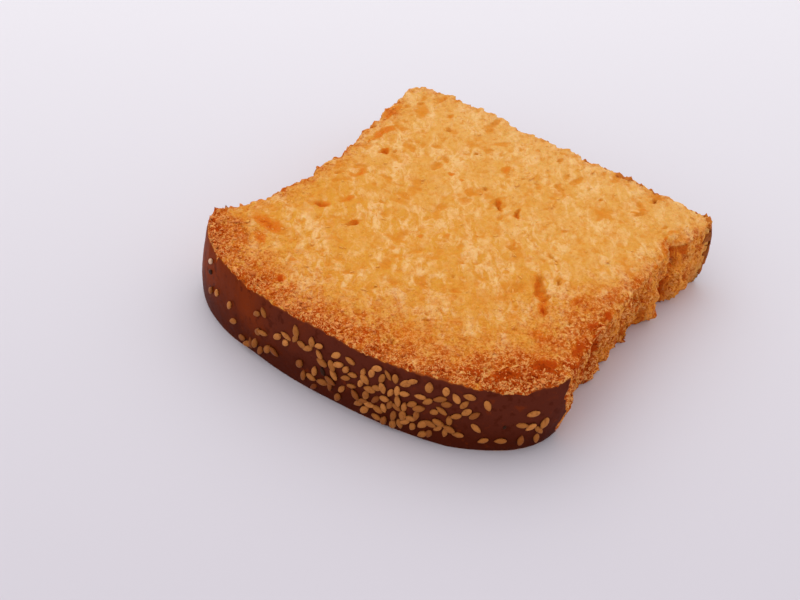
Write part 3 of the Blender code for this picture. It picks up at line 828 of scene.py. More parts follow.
class Finish:
    """One material, built node by node on Object coordinates."""

    def __init__(self, name, roughness, specular=0.5):
        self.material = bpy.data.materials.new(name)
        self.material.use_nodes = True
        self.tree = self.material.node_tree
        self.shader = self.tree.nodes["Principled BSDF"]
        self.set_constant("Roughness", roughness)
        self.set_constant("Specular IOR Level", specular)
        self.place = self.node("ShaderNodeTexCoord").outputs["Object"]

    def set_constant(self, socket, value):
        self.shader.inputs[socket].default_value = value

    def node(self, kind, settings=None, sockets=None):
        """A node with its settings, such as an operation, and its sockets."""
        made = self.tree.nodes.new(kind)
        for name, value in (settings or {}).items():
            setattr(made, name, value)
        for key, value in (sockets or {}).items():
            self.feed(made.inputs[key], value)
        return made

    def feed(self, socket, value):
        if isinstance(value, Level):
            self.tree.links.new(value.socket, socket)
        elif isinstance(value, bpy.types.NodeSocket):
            self.tree.links.new(value, socket)
        else:
            socket.default_value = value

    def attribute(self, name):
        made = self.node("ShaderNodeAttribute", {"attribute_name": name})
        return Level(self, made.outputs["Fac"])

    def noise(
        self, size, detail=3.0, rough=0.5, distortion=0.0, longer=1.0, taller=1.0, shift=0.0
    ):
        """Cloudy noise of blotches about size metres across, drawn out along the crumb."""
        sockets = {"Vector": self.place, "Scale": (longer, 1, taller), "Location": (shift,) * 3}
        sockets["Rotation"] = (0, 0, CRUMB_FLOW)
        place = self.node("ShaderNodeMapping", {"vector_type": "TEXTURE"}, sockets)
        sockets = {"Vector": place.outputs[0], "Scale": 1 / size, "Detail": detail}
        sockets.update({"Roughness": rough, "Distortion": distortion})
        made = self.node("ShaderNodeTexNoise", sockets=sockets)
        return Level(self, made.outputs["Fac"])

    def foam(self, size, bend):
        """0 inside cells about size metres across, and 1 on the walls between them."""
        sockets = {"Vector": self.place, "Scale": 0.6 / size, "Detail": 2.0}
        bent = self.node("ShaderNodeTexNoise", sockets=sockets).outputs["Color"]
        place = self.node(
            "ShaderNodeVectorMath",
            {"operation": "MULTIPLY_ADD"},
            {0: bent, 1: (bend,) * 3, 2: self.place},
        )
        sockets = {"Vector": place.outputs[0], "Scale": 1 / size}
        made = self.node("ShaderNodeTexVoronoi", {"feature": "F1"}, sockets)
        return Level(self, made.outputs["Distance"]).between(0.25, 0.75)

    def mix(self, first, second, share):
        """The first colour turning into the second as share goes from 0 to 1."""
        made = self.node("ShaderNodeMix", {"data_type": "RGBA"}, {0: share})
        for key, colour in ((6, first), (7, second)):
            is_socket = isinstance(colour, bpy.types.NodeSocket)
            self.feed(made.inputs[key], colour if is_socket else (*colour, 1.0))
        return made.outputs[2]

    def coated(self, colour, *coats):
        """The colour under its coats, each a colour and its share, laid on in this order."""
        for coat, share in coats:
            colour = self.mix(colour, coat, share)
        return colour

    def bump(self, height, distance, strength=1.0):
        made = self.node(
            "ShaderNodeBump", sockets={"Height": height, "Distance": distance, "Strength": strength}
        )
        self.feed(self.shader.inputs["Normal"], made.outputs[0])

    def colour(self, value):
        self.feed(self.shader.inputs["Base Color"], value)


def colour_prop(name, description, default):
    return bpy.props.FloatVectorProperty(
        name=name, description=description, default=default, size=3, subtype="COLOR", min=0, max=1
    )


def length_prop(name, description, default):
    return bpy.props.FloatProperty(
        name=name, description=description, default=default, unit="LENGTH", precision=5
    )


def share_prop(name, description, default):
    return bpy.props.FloatProperty(
        name=name, description=description, default=default, min=0, max=1, subtype="FACTOR"
    )


# ---- Pieces as objects -------------------------------------------------------------------


def new_object(name, mesh, material):
    mesh.materials.append(material)
    made = bpy.data.objects.new(name, mesh)
    bpy.context.scene.collection.objects.link(made)
    return made


def mesh_from(bm, name):
    mesh = bpy.data.meshes.new(name)
    bm.to_mesh(mesh)
    bm.free()
    return mesh


def vertex_places(mesh):
    places = np.empty(len(mesh.vertices) * 3)
    mesh.vertices.foreach_get("co", places)
    return places.reshape(-1, 3)


def move_vertices(mesh, places):
    mesh.vertices.foreach_set("co", places.ravel())
    mesh.update()


def add_attribute(mesh, name, values):
    layer = mesh.attributes.new(name, "FLOAT", "POINT")
    layer.data.foreach_set("value", np.asarray(values, dtype=np.float32))


def finish_piece(piece):
    """Every piece rides on the one body and stands for the plain solid."""
    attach(piece, BODY)
    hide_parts(NODE)


# ---- The crumb ---------------------------------------------------------------------------


class CrumbSettings(bpy.types.PropertyGroup):
    cell: length_prop("Mesh cell", "Size of the coarse mesh cells", CRUMB_CELL)
    cream: colour_prop("Cream crumb", "The palest patches", (0.85, 0.515, 0.212))
    butter: colour_prop("Butter crumb", "Towards the base crust", (0.88, 0.575, 0.235))
    gold: colour_prop("Golden crumb", "Most of the cut", (0.72, 0.313, 0.039))
    # Laid as the crumb's own orange patches and, as painted shade and orange bounce light, inside
    # the cells.
    pore: colour_prop("Open cells", "Inside the cells", (0.70, 0.245, 0.022))
    amber: colour_prop("Amber patches", "Where the cut toasted more", (0.70, 0.170, 0.010))
    # Painted shade: the darker brown deep inside the cells.
    brown: colour_prop("Brown cells", "Deep inside the cells", (0.50, 0.105, 0.003))
    toasted: colour_prop("Toasted crumb", "Beside the crust", (0.60, 0.140, 0.010))
    # Laid on the real scorched patches and, as painted shade, in the deepest cells, clefts and
    # gaps.
    scorched: colour_prop("Scorched crumb", "The darkest clefts", (0.22, 0.018, 0.001))
    # Partly painted highlights: laid as light specks on the raised bumps of the toasted crumb and
    # of the torn strands, besides the crumb's own pale bits.
    crisp: colour_prop("Crisp specks", "Light specks in the toasted part", (0.88, 0.42, 0.130))
    torn: colour_prop("Torn crumb", "The torn sides", (0.88, 0.32, 0.036))
    # Laid as the toasted crumb's own red-brown and, as painted shade, in its pits, gaps and
    # grooves.
    ember: colour_prop("Ember", "Red-brown hollows of the toasted part", (0.50, 0.060, 0.002))


def plan_grid(across, along):
    """A flat grid that fills the outline, blended from its four curves."""
    bm = bmesh.new()
    bmesh.ops.create_grid(bm, x_segments=across, y_segments=along, size=1.0)
    front, back = resampled(front_curve(), across), resampled(back_curve(), across)
    left, right = resampled(side_curve(-1), along), resampled(side_curve(1), along)
    for v in bm.verts:
        u, w = (v.co.x + 1) / 2, (v.co.y + 1) / 2
        i, j = round(u * across), round(w * along)
        ends = (1 - w) * ((1 - u) * front[0] + u * front[-1])
        ends = ends + w * ((1 - u) * back[0] + u * back[-1])
        x, y = (1 - w) * front[i] + w * back[i] + (1 - u) * left[j] + u * right[j] - ends
        v.co = (x, y, 0)
    return bm


def is_open_crumb(edge):
    """Whether an edge of the plain slab is on the upper cut or on a torn side."""
    if all(v.co.z > THICKNESS - 0.1 * MM for v in edge.verts):
        return True
    x, y, _ = (edge.verts[0].co + edge.verts[1].co) / 2
    return all(v.co.z > 0.1 * MM for v in edge.verts) and torn_share(x, y) > 0.05


def crumb_slab(cell):
    """The plain slab: coarse below and behind the crust, fine where open crumb shows."""
    across = round(sum(SHOULDER) / cell)
    along = round((FOOT_Y - SHOULDER_Y + DOME_RISE * 0.6) / cell)
    rows = round(THICKNESS / cell)
    bm = plan_grid(across, along)
    grown = bmesh.ops.extrude_face_region(bm, geom=bm.faces[:], use_keep_orig=True)
    raised = [g for g in grown["geom"] if isinstance(g, bmesh.types.BMVert)]
    bmesh.ops.translate(bm, verts=raised, vec=(0, 0, THICKNESS))
    upright = [e for e in bm.edges if abs(e.verts[0].co.z - e.verts[1].co.z) > THICKNESS / 2]
    bmesh.ops.subdivide_edges(bm, edges=upright, cuts=rows - 1, use_grid_fill=True)
    fine = [e for e in bm.edges if is_open_crumb(e)]
    bmesh.ops.subdivide_edges(bm, edges=fine, cuts=1, use_grid_fill=True)
    bmesh.ops.recalc_face_normals(bm, faces=bm.faces[:])
    return bm


def crumb_finish(settings):
    finish = Finish("toasted_crumb", roughness=0.85, specular=0.03)
    pit, toast, torn, stain, far = (
        finish.attribute(name) for name in ("pit", "toast", "torn", "stain", "far")
    )
    patch = finish.noise(7 * MM, detail=4, rough=0.6, distortion=0.8, longer=1.7)
    streak = finish.noise(2.2 * MM, detail=5, rough=0.64, distortion=0.9, longer=2.0, shift=0.1)
    mottle = finish.noise(1.15 * MM, detail=4, rough=0.62, distortion=0.5, longer=1.4, shift=0.3)
    crackle = finish.noise(0.8 * MM, detail=3, rough=0.75, distortion=0.6, shift=0.5)
    blotch = finish.noise(3.0 * MM, detail=4, rough=0.65, distortion=0.4, longer=1.6, shift=1.3)
    walls = finish.foam(0.8 * MM, 0.6 * MM)
    pool = finish.noise(3.4 * MM, detail=5, rough=0.66, distortion=0.6, longer=1.8, shift=2.1)
    strand = finish.noise(1.9 * MM, detail=4, rough=0.6, distortion=0.5, taller=4.0, shift=3.1)

    creamy = (streak + 0.12 * (crackle - 0.5)).between(0.39, 0.63)
    golden = patch.between(0.42, 0.58) * 0.75
    buttery = far * (0.35 + 0.5 * (streak - 0.5))
    # Painted shade and orange bounce light inside the fine foam cells.
    foam_cell_shade = (1 - walls) * (0.1 + 0.5 * patch) * 0.4
    speckled = mottle.between(0.50, 0.66) * blotch.between(0.35, 0.60) * 0.7
    pooled = (pool + 0.35 * (mottle - 0.5) + 0.2 * (crackle - 0.5)).between(0.50, 0.70)
    # Painted shade and orange bounce light: the cells are painted more orange, and deep down
    # browner, the deeper they are.
    cell_shade = (pit + 0.4 * (crackle - 0.5)).between(0.08, 0.50) * 0.85
    deep_cell_shade = (pit + 0.6 * (mottle - 0.5)).between(0.7, 2.0) * 0.9
    stained = stain * (0.75 + 1.0 * (crackle - 0.5) + 0.8 * (mottle - 0.5))
    browned = (toast + toast * (2.6 * (mottle - 0.5) + 3.4 * (blotch - 0.5))).between(0.0, 0.75)
    glowing = (toast + 0.9 * (blotch - 0.5)).between(0.62, 1.15) * 0.65
    # Partly painted shade: the gaps between the toasted crumb's raised bumps are painted red-brown.
    gap = (0.05 + toast + torn * 0.2) * crackle.between(0.49, 0.40)
    scorch = (toast + torn * 0.3) * blotch.between(0.52, 0.66)
    # Partly painted shade: in the toasted crumb the pits are painted red-brown, the deeper the
    # darker, over the real toasting.
    toast_and_pit_shade = (pit * (0.15 + 1.2 * toast)).between(0.5, 1.3) * 0.9
    # Partly painted shade: the deepest cells and clefts are painted scorched, and so are the gaps
    # between the toasted crumb's raised bumps.
    deepest = (pit * (0.2 + toast)).between(1.2, 2.4) + toast * crackle.between(0.44, 0.34)
    # Partly painted highlights: light specks on the toasted crumb's raised bumps, kept out of the
    # cells.
    light = crackle.between(0.51, 0.59) * (0.06 + 0.9 * toast + 0.25 * torn)

    cut = finish.coated(
        settings.gold,
        (settings.cream, creamy),
        (settings.gold, golden),
        (settings.butter, buttery),
        (settings.pore, foam_cell_shade),
        (settings.pore, speckled),
        (settings.pore, pooled * (0.62 - 0.35 * far)),
        (settings.pore, cell_shade),
        (settings.brown, deep_cell_shade),
        (settings.pore, stained.between(0.04, 0.25) * 0.9),
        (settings.amber, stained.between(0.20, 0.55) * 0.95),
        (settings.torn, torn * 0.8),
    )
    baked = finish.coated(
        cut,
        (settings.toasted, browned * (0.95 - 0.45 * torn)),
        (settings.ember, glowing),
        (settings.ember, gap * 0.9),
        (settings.ember, scorch * 0.8),
        (settings.ember, toast_and_pit_shade),
        (settings.scorched, deepest * 0.8),
        (settings.crisp, light * (1 - pit.between(0.3, 0.9))),
        # Partly painted shade and highlight: on the torn sides the strands' grooves, which the bump
        # lowers, are painted red-brown and their raised parts light.
        (settings.ember, torn * strand.between(0.53, 0.66) * 0.75),
        (settings.crisp, torn * strand.between(0.45, 0.36) * 0.35),
        (settings.ember, stained.between(0.60, 0.95) * 0.95),
        (settings.scorched, stained.between(1.05, 1.8) * 0.7),
    )
    finish.colour(baked)
    height = streak * 0.5 + walls * 0.15 + mottle * 0.5 + crackle * (0.35 + 0.8 * toast)
    finish.bump(height - torn * strand * 1.6, 0.55 * MM, 0.9)
    finish.set_constant("Subsurface Weight", 0.22)
    finish.set_constant("Subsurface Radius", (1.0, 0.45, 0.15))
    finish.set_constant("Subsurface Scale", 1.0 * MM)
    return finish.material


class RUSK_OT_crumb(bpy.types.Operator):
    """Makes the open crumb: the cut faces, the torn sides and their cells"""

    bl_idname = "rusk.crumb"
    bl_label = "Toasted crumb"

    def execute(self, context):
        settings = context.scene.rusk_crumb
        mesh = mesh_from(crumb_slab(settings.cell), "crumb")
        places, marks = RELIEF.move(vertex_places(mesh))
        move_vertices(mesh, places)
        for name, values in marks.items():
            add_attribute(mesh, name, values)
        mesh.shade_smooth()
        crumb = new_object("crumb", mesh, crumb_finish(settings))
        finish_piece(crumb)
        return {"FINISHED"}


# ---- The crusts --------------------------------------------------------------------------


class CrustSettings(bpy.types.PropertyGroup):
    thickness: length_prop("Thickness", "How thick the crust is", 1.1 * MM)
    glaze: colour_prop("Glaze", "The glazed crust", (0.102, 0.0188, 0.0096))
    # Painted shade: this darker, warmer glaze is painted over the lower part of the crust for the
    # shade and warm bounce light there; as mottle it is the glaze's own dark patches.
    low: colour_prop("Low glaze", "The glaze near the lower cut", (0.062, 0.0072, 0.0014))
    # Painted light in part: this lighter amber is painted over the crust's left end, which faces
    # the key light; as mottle it is the glaze's own thin patches.
    amber: colour_prop("Thin glaze", "Where the glaze is thin", (0.215, 0.029, 0.0020))
    rim: colour_prop("Rim", "The crust's edge beside the crumb", (0.36, 0.075, 0.012))
    base: colour_prop("Base crust", "The crust that lay on the tin", (0.46, 0.135, 0.022))
    base_dark: colour_prop("Baked base", "Its darkest parts", (0.20, 0.048, 0.010))
    bare: colour_prop("Base rim", "Its broken rims", (0.56, 0.165, 0.020))


CRUST_FOOT = 0.03 * MM  # the crust ends this far over the lower cut
RIM_ROUND = 0.18 * MM
RIM_TURN = 0.5 * MM  # over this height each rim turns in
CRUST_GRAIN = 0.05 * MM


def crust_shell(name, material, start, stop, thickness, ragged, lowered, nibbled):
    """A closed shell round part of the outline. lowered is how far its rim lies under the upper
    cut at its start and its stop."""
    outline = RELIEF.outline
    length = stop - start
    across, up = round(length / CRUST_CELL), round(THICKNESS / CRUST_CELL)
    bm = bmesh.new()
    bmesh.ops.create_grid(bm, x_segments=across, y_segments=up, size=1.0)
    mesh = mesh_from(bm, name)
    unit = (vertex_places(mesh) + 1) / 2
    edge_noise = Grain(RIM_DRAW)
    s, share = start + unit[:, 0] * length, unit[:, 1]
    # The two ends break off unevenly, and the upper and lower rims are slightly nibbled.
    along = np.column_stack([s, share * THICKNESS, np.zeros(len(s))])
    ends = np.column_stack([share * THICKNESS, np.zeros(len(s)), np.zeros(len(s))])
    near_start = np.exp(-(s - start) / (4 * MM))
    near_stop = np.exp(-(stop - s) / (4 * MM))
    s = s + ragged * near_start * edge_noise(ends, 3.4 * MM, octaves=4, gain=0.7)
    s = s + ragged * near_stop * edge_noise(ends + 40 * MM, 4 * MM, octaves=4, gain=0.65)
    place, normal = outline.at(s)
    flat = np.column_stack([place, np.zeros(len(s))])
    wave = UNEVEN * shared_noise(flat, UNEVEN_LENGTH)
    nibble = edge_noise(np.column_stack([s, s * 0, s * 0]), 4.0 * MM, octaves=5, gain=0.75)
    deep = lowered[0] + (lowered[1] - lowered[0]) * fade(unit[:, 0], 0.2, 0.6)
    high = THICKNESS + WEDGE * place[:, 0] + wave - deep + nibbled * nibble
    z = CRUST_FOOT + share * (high - CRUST_FOOT)
    relief = crust_relief(place[:, 0], place[:, 1], share * THICKNESS)
    relief = relief - undercut(place[:, 0], place[:, 1], share * THICKNESS)
    relief = relief + CRUST_GRAIN * edge_noise(along, 2.5 * MM, octaves=3)
    # The rims turn in a little where the crust was cut.
    to_upper, to_lower = (1 - share) * THICKNESS, share * THICKNESS
    turned = np.exp(-to_upper / RIM_TURN) + np.exp(-to_lower / RIM_TURN)
    out = relief - RIM_ROUND * turned
    places = np.column_stack([place + normal * out[:, None], z]) - MIDDLE
    move_vertices(mesh, places)
    add_attribute(mesh, "rim", 1 - share)
    add_attribute(mesh, "along", unit[:, 0])
    bm = bmesh.new()
    bm.from_mesh(mesh)
    bmesh.ops.recalc_face_normals(bm, faces=bm.faces[:])
    middle = bm.faces[0]
    centre = Vector((0, 0, THICKNESS / 2))
    if (middle.calc_center_median() - centre).dot(middle.normal) < 0:
        bmesh.ops.reverse_faces(bm, faces=bm.faces[:])
    bm.to_mesh(mesh)
    bm.free()
    mesh.shade_smooth()
    shell = new_object(name, mesh, material)
    wall = shell.modifiers.new("wall", "SOLIDIFY")
    wall.thickness = thickness
    wall.offset = -1.0
    rounding = shell.modifiers.new("rounded rim", "BEVEL")
    rounding.width = RIM_ROUND
    rounding.segments = 2
    rounding.limit_method = "ANGLE"
    rounding.angle_limit = math.radians(60)
    return shell


def glaze_finish(settings):
    finish = Finish("glazed_crust", roughness=0.45, specular=0.015)
    cloud = finish.noise(14 * MM, detail=4, distortion=0.4)
    mottle = finish.noise(2.2 * MM, detail=5, rough=0.6)
    fine = finish.noise(0.35 * MM, detail=2)
    along = finish.attribute("along")
    rim = finish.attribute("rim")
    fleck = finish.noise(0.5 * MM, detail=2, shift=0.7).between(0.74, 0.80)
    edge = 1 - (rim + 0.03 * (mottle - 0.5)).between(0.0, 0.022)
    base = finish.coated(
        settings.amber,
        # Painted light: lighter amber at the left end, which faces the key light, turning into the
        # darker glaze towards the right.
        (settings.glaze, (along + 0.6 * (cloud - 0.5)).between(0.0, 0.55)),
        # Painted shade and warm bounce light: darker and warmer towards the lower cut.
        (settings.low, (rim + 0.5 * (cloud - 0.5)).between(0.25, 0.85) * 0.85),
        (settings.amber, mottle.between(0.56, 0.72) * 0.4),
        (settings.low, mottle.between(0.46, 0.34) * 0.6),
        (settings.rim, fleck * 0.7),
        (settings.rim, edge * 0.7),
    )
    finish.colour(base)
    finish.bump(mottle * 0.7 + fine * 0.3, 0.12 * MM, 0.6)
    finish.feed(finish.shader.inputs["Roughness"], 0.36 + 0.16 * mottle + 0.25 * edge)
    return finish.material


def base_finish(settings):
    finish = Finish("base_crust", roughness=0.7, specular=0.08)
    cloud = finish.noise(9 * MM, detail=5, rough=0.6).between(0.35, 0.65)
    mottle = finish.noise(1.4 * MM, detail=4, rough=0.65)
    rim = finish.attribute("rim")
    base = finish.coated(
        settings.base,
        (settings.base_dark, cloud),
        (settings.base_dark, mottle.between(0.50, 0.72) * 0.7),
        (settings.bare, (1 - rim.between(0.01, 0.12)) * 0.85),
    )
    finish.colour(base)
    finish.bump(mottle + 0.5 * cloud, 0.3 * MM, 0.7)
    return finish.material


class RUSK_OT_glazed_crust(bpy.types.Operator):
    """Makes the glazed crust round the dome"""

    bl_idname = "rusk.glazed_crust"
    bl_label = "Glazed crust"

    def execute(self, context):
        settings = context.scene.rusk_crust
        outline = RELIEF.outline
        left = outline.s[outline.index_near(-SHOULDER[0], TORN_FROM + 1 * MM)]
        right = outline.s[outline.index_near(SHOULDER[1], TORN_FROM)]
        shell = crust_shell(
            "glazed_crust",
            glaze_finish(settings),
            left - outline.length,
            right,
            settings.thickness,
            ragged=1.2 * MM,
            lowered=(0.30 * MM, 0.30 * MM),
            nibbled=0.30 * MM,
        )
        finish_piece(shell)
        return {"FINISHED"}


class RUSK_OT_base_crust(bpy.types.Operator):
    """Makes the crust that lay on the tin"""

    bl_idname = "rusk.base_crust"
    bl_label = "Base crust"

    def execute(self, context):
        settings = context.scene.rusk_crust
        outline = RELIEF.outline
        right = outline.s[outline.index_near(FOOT[1], foot_y(FOOT[1]) - 1.6 * MM)]
        left = outline.s[outline.index_near(-FOOT[0], foot_y(-FOOT[0]) - 5 * MM)]
        shell = crust_shell(
            "base_crust",
            base_finish(settings),
            right,
            left,
            settings.thickness,
            ragged=3.2 * MM,
            lowered=(0.45 * MM, 1.4 * MM),
            nibbled=0.85 * MM,
        )
        finish_piece(shell)
        return {"FINISHED"}


# ---- The seeds ---------------------------------------------------------------------------


class SeedSettings(bpy.types.PropertyGroup):
    length: length_prop("Length", "Length of a sesame seed", SEED_LENGTH)
    width: length_prop("Width", "Width of a sesame seed", 1.66 * MM)
    depth: length_prop("Thickness", "Thickness of a sesame seed", 1.0 * MM)
    sunk: share_prop("Sunk", "The share of its thickness that a seed sits in the glaze", 0.25)
    hulled: colour_prop("Hulled seeds", "A seed without its coat", (0.66, 0.42, 0.27))
    light: colour_prop("Light seeds", "The palest of the rest", (0.56, 0.205, 0.048))
    tan: colour_prop("Toasted seeds", "Most seeds", (0.36, 0.118, 0.021))
    brown: colour_prop("Brown seeds", "The darkest seeds and their tips", (0.175, 0.035, 0.003))
    dark: colour_prop("Dark seeds", "The few black seeds", (0.010, 0.0055, 0.0035))


def seed_places():
    """Where each seed lies: its angle on the dome, height, turn and size."""
    draw = random.Random(SEED_DRAW)
    places, taken = [], []
    for middle, height, spread_x, spread_z, count in DRIFTS:
        wanted = len(places) + count
        while len(places) < wanted:
            x = draw.gauss(middle, spread_x) * MM
            z = draw.gauss(height, spread_z) * MM
            turn = math.radians(draw.gauss(*SEED_LEAN))
            size = draw.uniform(*SEED_SIZES)
            top = THICKNESS + WEDGE * x - SEED_EDGE
            if not SEED_EDGE < z < top or abs(x) > SEED_REACH * of_side(SHOULDER, x):
                continue
            angle = dome_angle(x)
            place = Vector((*dome_point(angle), z))
            if any((place - other).length < SEED_GAP for other in taken):
                continue
            taken.append(place)
            places.append((angle, z, turn, size))
    return places


def seed_paleness(draw, z):
    """How pale a seed at this height is: the low ones are browner."""
    usual, rise, spread = PALENESS
    return usual + rise * (z / THICKNESS - 0.5) + draw.gauss(0, spread)


def crust_surface():
    graph = bpy.context.evaluated_depsgraph_get()
    return BVHTree.FromObject(bpy.data.objects["glazed_crust"], graph)


def on_crust(surface, angle, z):
    """The place on the dome's crust at this angle and height, and the way out of it."""
    x, y = dome_point(angle)
    outward = dome_outward(angle)
    start = Vector((x, y, z)) - Vector(MIDDLE) + outward * CLEAR
    place = surface.ray_cast(start, -outward)[0]
    if place is None:
        raise RuntimeError("a seed missed the crust")
    return place, outward


def seed_shape(length, width, depth, taper):
    """A flat drop along Z, pointed at one end."""
    bm = bmesh.new()
    bmesh.ops.create_uvsphere(bm, u_segments=SEED_SIDES, v_segments=SEED_RINGS, radius=0.5)
    for v in bm.verts:
        thin = 1 - taper * max(0.0, v.co.z) ** 1.3 * 1.25
        plump = 1 - 0.25 * max(0.0, v.co.z)
        v.co = (v.co.x * width * thin, v.co.y * depth * plump, v.co.z * length)
    return mesh_from(bm, "seed_shape")


def joined_copies(name, shape, matrices, marks):
    """Many copies of one small mesh in one piece, each with its own value of every mark."""
    bm = bmesh.new()
    layers = {mark: bm.verts.layers.float.new(mark) for mark in marks}
    tip_layer = bm.verts.layers.float.new("tip")
    size = max(v.co.length for v in shape.vertices)
    for i, matrix in enumerate(matrices):
        start = len(bm.verts)
        bm.from_mesh(shape)
        bm.verts.ensure_lookup_table()
        for v in bm.verts[start:]:
            for mark, layer in layers.items():
                v[layer] = marks[mark][i]
            v[tip_layer] = v.co.z / size
            v.co = matrix @ v.co
    bpy.data.meshes.remove(shape)
    bmesh.ops.recalc_face_normals(bm, faces=bm.faces[:])
    mesh = mesh_from(bm, name)
    mesh.shade_smooth()
    return mesh


def seed_matrix(surface, draw, settings, angle, z, turn, size):
    """The place of a seed whose long side is its Z and whose thickness is its Y."""
    turn += draw.choice((0, math.pi))
    place, normal = on_crust(surface, angle, z)
    sideways = Vector((0, 0, 1)).cross(normal).normalized()
    long_way = math.cos(turn) * sideways + math.sin(turn) * normal.cross(sideways)
    tilt = Matrix.Rotation(draw.gauss(0, SEED_TILT[0]), 3, long_way)
    tilt = Matrix.Rotation(draw.gauss(0, SEED_TILT[1]), 3, normal.cross(long_way)) @ tilt
    basis = tilt @ Matrix((normal.cross(long_way), normal, long_way)).transposed()
    lift = normal * settings.depth * size * (0.5 - settings.sunk + draw.uniform(*SEED_LIFT))
    plump = Matrix.Diagonal((draw.uniform(*SEED_WIDTHS), draw.uniform(*SEED_DEPTHS), 1.0, 1.0))
    return Matrix.Translation(place + lift) @ basis.to_4x4() @ Matrix.Scale(size, 4) @ plump


def seed_finish(settings):
    finish = Finish("sesame_seed", roughness=0.5, specular=0.12)
    tint, tip = finish.attribute("tint"), finish.attribute("tip")
    cloud = finish.noise(0.9 * MM, detail=3, rough=0.6)
    base = finish.coated(
        settings.brown,
        (settings.tan, tint.between(-0.8, 1.0)),
        (settings.light, tint.between(0.8, 2.2)),
        (settings.hulled, tint.between(2.5, 2.9)),
        (settings.brown, tip.between(0.50, 1.0) * 0.6),
        (settings.brown, cloud.between(0.50, 0.75) * 0.5),
    )
    finish.colour(base)
    finish.bump(cloud, 0.08 * MM, 0.6)
    return finish.material


def dark_seed_finish(settings):
    finish = Finish("dark_seed", roughness=0.6, specular=0.1)
    cloud = finish.noise(0.3 * MM, detail=2)
    finish.colour(finish.mix(settings.dark, settings.brown, cloud * 0.3))
    finish.bump(cloud, 0.05 * MM, 0.6)
    return finish.material


class RUSK_OT_seeds(bpy.types.Operator):
    """Makes the sesame seeds that are baked onto the glaze"""

    bl_idname = "rusk.seeds"
    bl_label = "Sesame seeds"

    def execute(self, context):
        settings = context.scene.rusk_seeds
        surface = crust_surface()
        draw = random.Random(SEED_DRAW + 1)
        places = seed_places()
        matrices = [seed_matrix(surface, draw, settings, *place) for place in places]
        tints = [HULLED] + [min(seed_paleness(draw, z), PALEST) for _, z, _, _ in places[1:]]
        shape = seed_shape(settings.length, settings.width, settings.depth, SEED_TAPER)
        mesh = joined_copies("sesame_seeds", shape, matrices, {"tint": tints})
        seeds = new_object("sesame_seeds", mesh, seed_finish(settings))
        finish_piece(seeds)
        return {"FINISHED"}


class RUSK_OT_dark_seeds(bpy.types.Operator):
    """Makes the few black seeds among the sesame"""

    bl_idname = "rusk.dark_seeds"
    bl_label = "Dark seeds"

    def execute(self, context):
        settings = context.scene.rusk_seeds
        surface = crust_surface()
        draw = random.Random(SEED_DRAW + 2)
        places = [
            (dome_angle(x * MM), z * MM, math.radians(turn), size)
            for x, z, turn, size in DARK_SEEDS
        ]
        matrices = [seed_matrix(surface, draw, settings, *place) for place in places]
        shape = seed_shape(SEED_LENGTH, DARK_WIDTH, DARK_DEPTH, DARK_TAPER)
        mesh = joined_copies("dark_seeds", shape, matrices, {})
        seeds = new_object("dark_seeds", mesh, dark_seed_finish(settings))
        finish_piece(seeds)
        return {"FINISHED"}


# ---- The fine crumbs ---------------------------------------------------------------------


class GrainSettings(bpy.types.PropertyGroup):
    by_crust: bpy.props.IntProperty(
        name="By the crust", description="Fine crumbs beside the glazed crust", default=1500
    )
    on_cut: bpy.props.IntProperty(
        name="On the cut", description="Fine crumbs all over the upper cut", default=700
    )
    on_sides: bpy.props.IntProperty(
        name="On the sides", description="Fine crumbs on the torn sides", default=500
    )
    size: length_prop("Size", "Width of a fine crumb", 0.40 * MM)
    pale: colour_prop("Pale crumbs", "The crumbs away from the crust", (0.82, 0.40, 0.085))
    light: colour_prop("Light crumbs", "The palest toasted crumbs", (0.86, 0.36, 0.11))
    dark: colour_prop("Dark crumbs", "The brownest crumbs", (0.50, 0.095, 0.005))


GRAIN_SHAPE = ((1.0, 1.9), (0.5, 0.9), (0.3, 0.7))  # least and most length, width and height
GRAIN_SPREAD = 0.45  # how much the fine crumbs differ in size
GRAIN_REACH = 3.2 * MM  # how far in from the glazed crust most of its fine crumbs lie
GRAIN_CLUMP = 2.2 * MM


def upper_spots(surface, draw, count, spot_of):
    """Spots on the upper cut under the places that spot_of draws, out of its deep cells."""
    spots = []
    while len(spots) < count:
        start = Vector((*spot_of(), 2 * THICKNESS)) - Vector(MIDDLE)
        hit, normal, _, _ = surface.ray_cast(start, Vector((0, 0, -1)))
        clump = noise.noise(start / GRAIN_CLUMP) + 0.25 > draw.uniform(-0.3, 0.5)
        if hit is not None and clump and normal.z > 0.5 + 0.3 * draw.random():
            spots.append((hit, normal))
    return spots


def side_spots(surface, draw, count):
    """Spots on the torn sides, most of them near the upper rim."""
    spots = []
    while len(spots) < count:
        s = draw.uniform(0, RELIEF.outline.length)
        place, normal = RELIEF.outline.at(np.array([s]))
        if draw.random() > torn_share(place[0][0], place[0][1]):
            continue
        z = THICKNESS * (1.04 - draw.betavariate(1.0, 1.6))
        outward = Vector((*normal[0], 0))
        start = Vector((*place[0], z)) - Vector(MIDDLE) + outward * CLEAR
        hit, face_normal, _, _ = surface.ray_cast(start, -outward)
        if hit is not None:
            spots.append((hit, face_normal))
    return spots


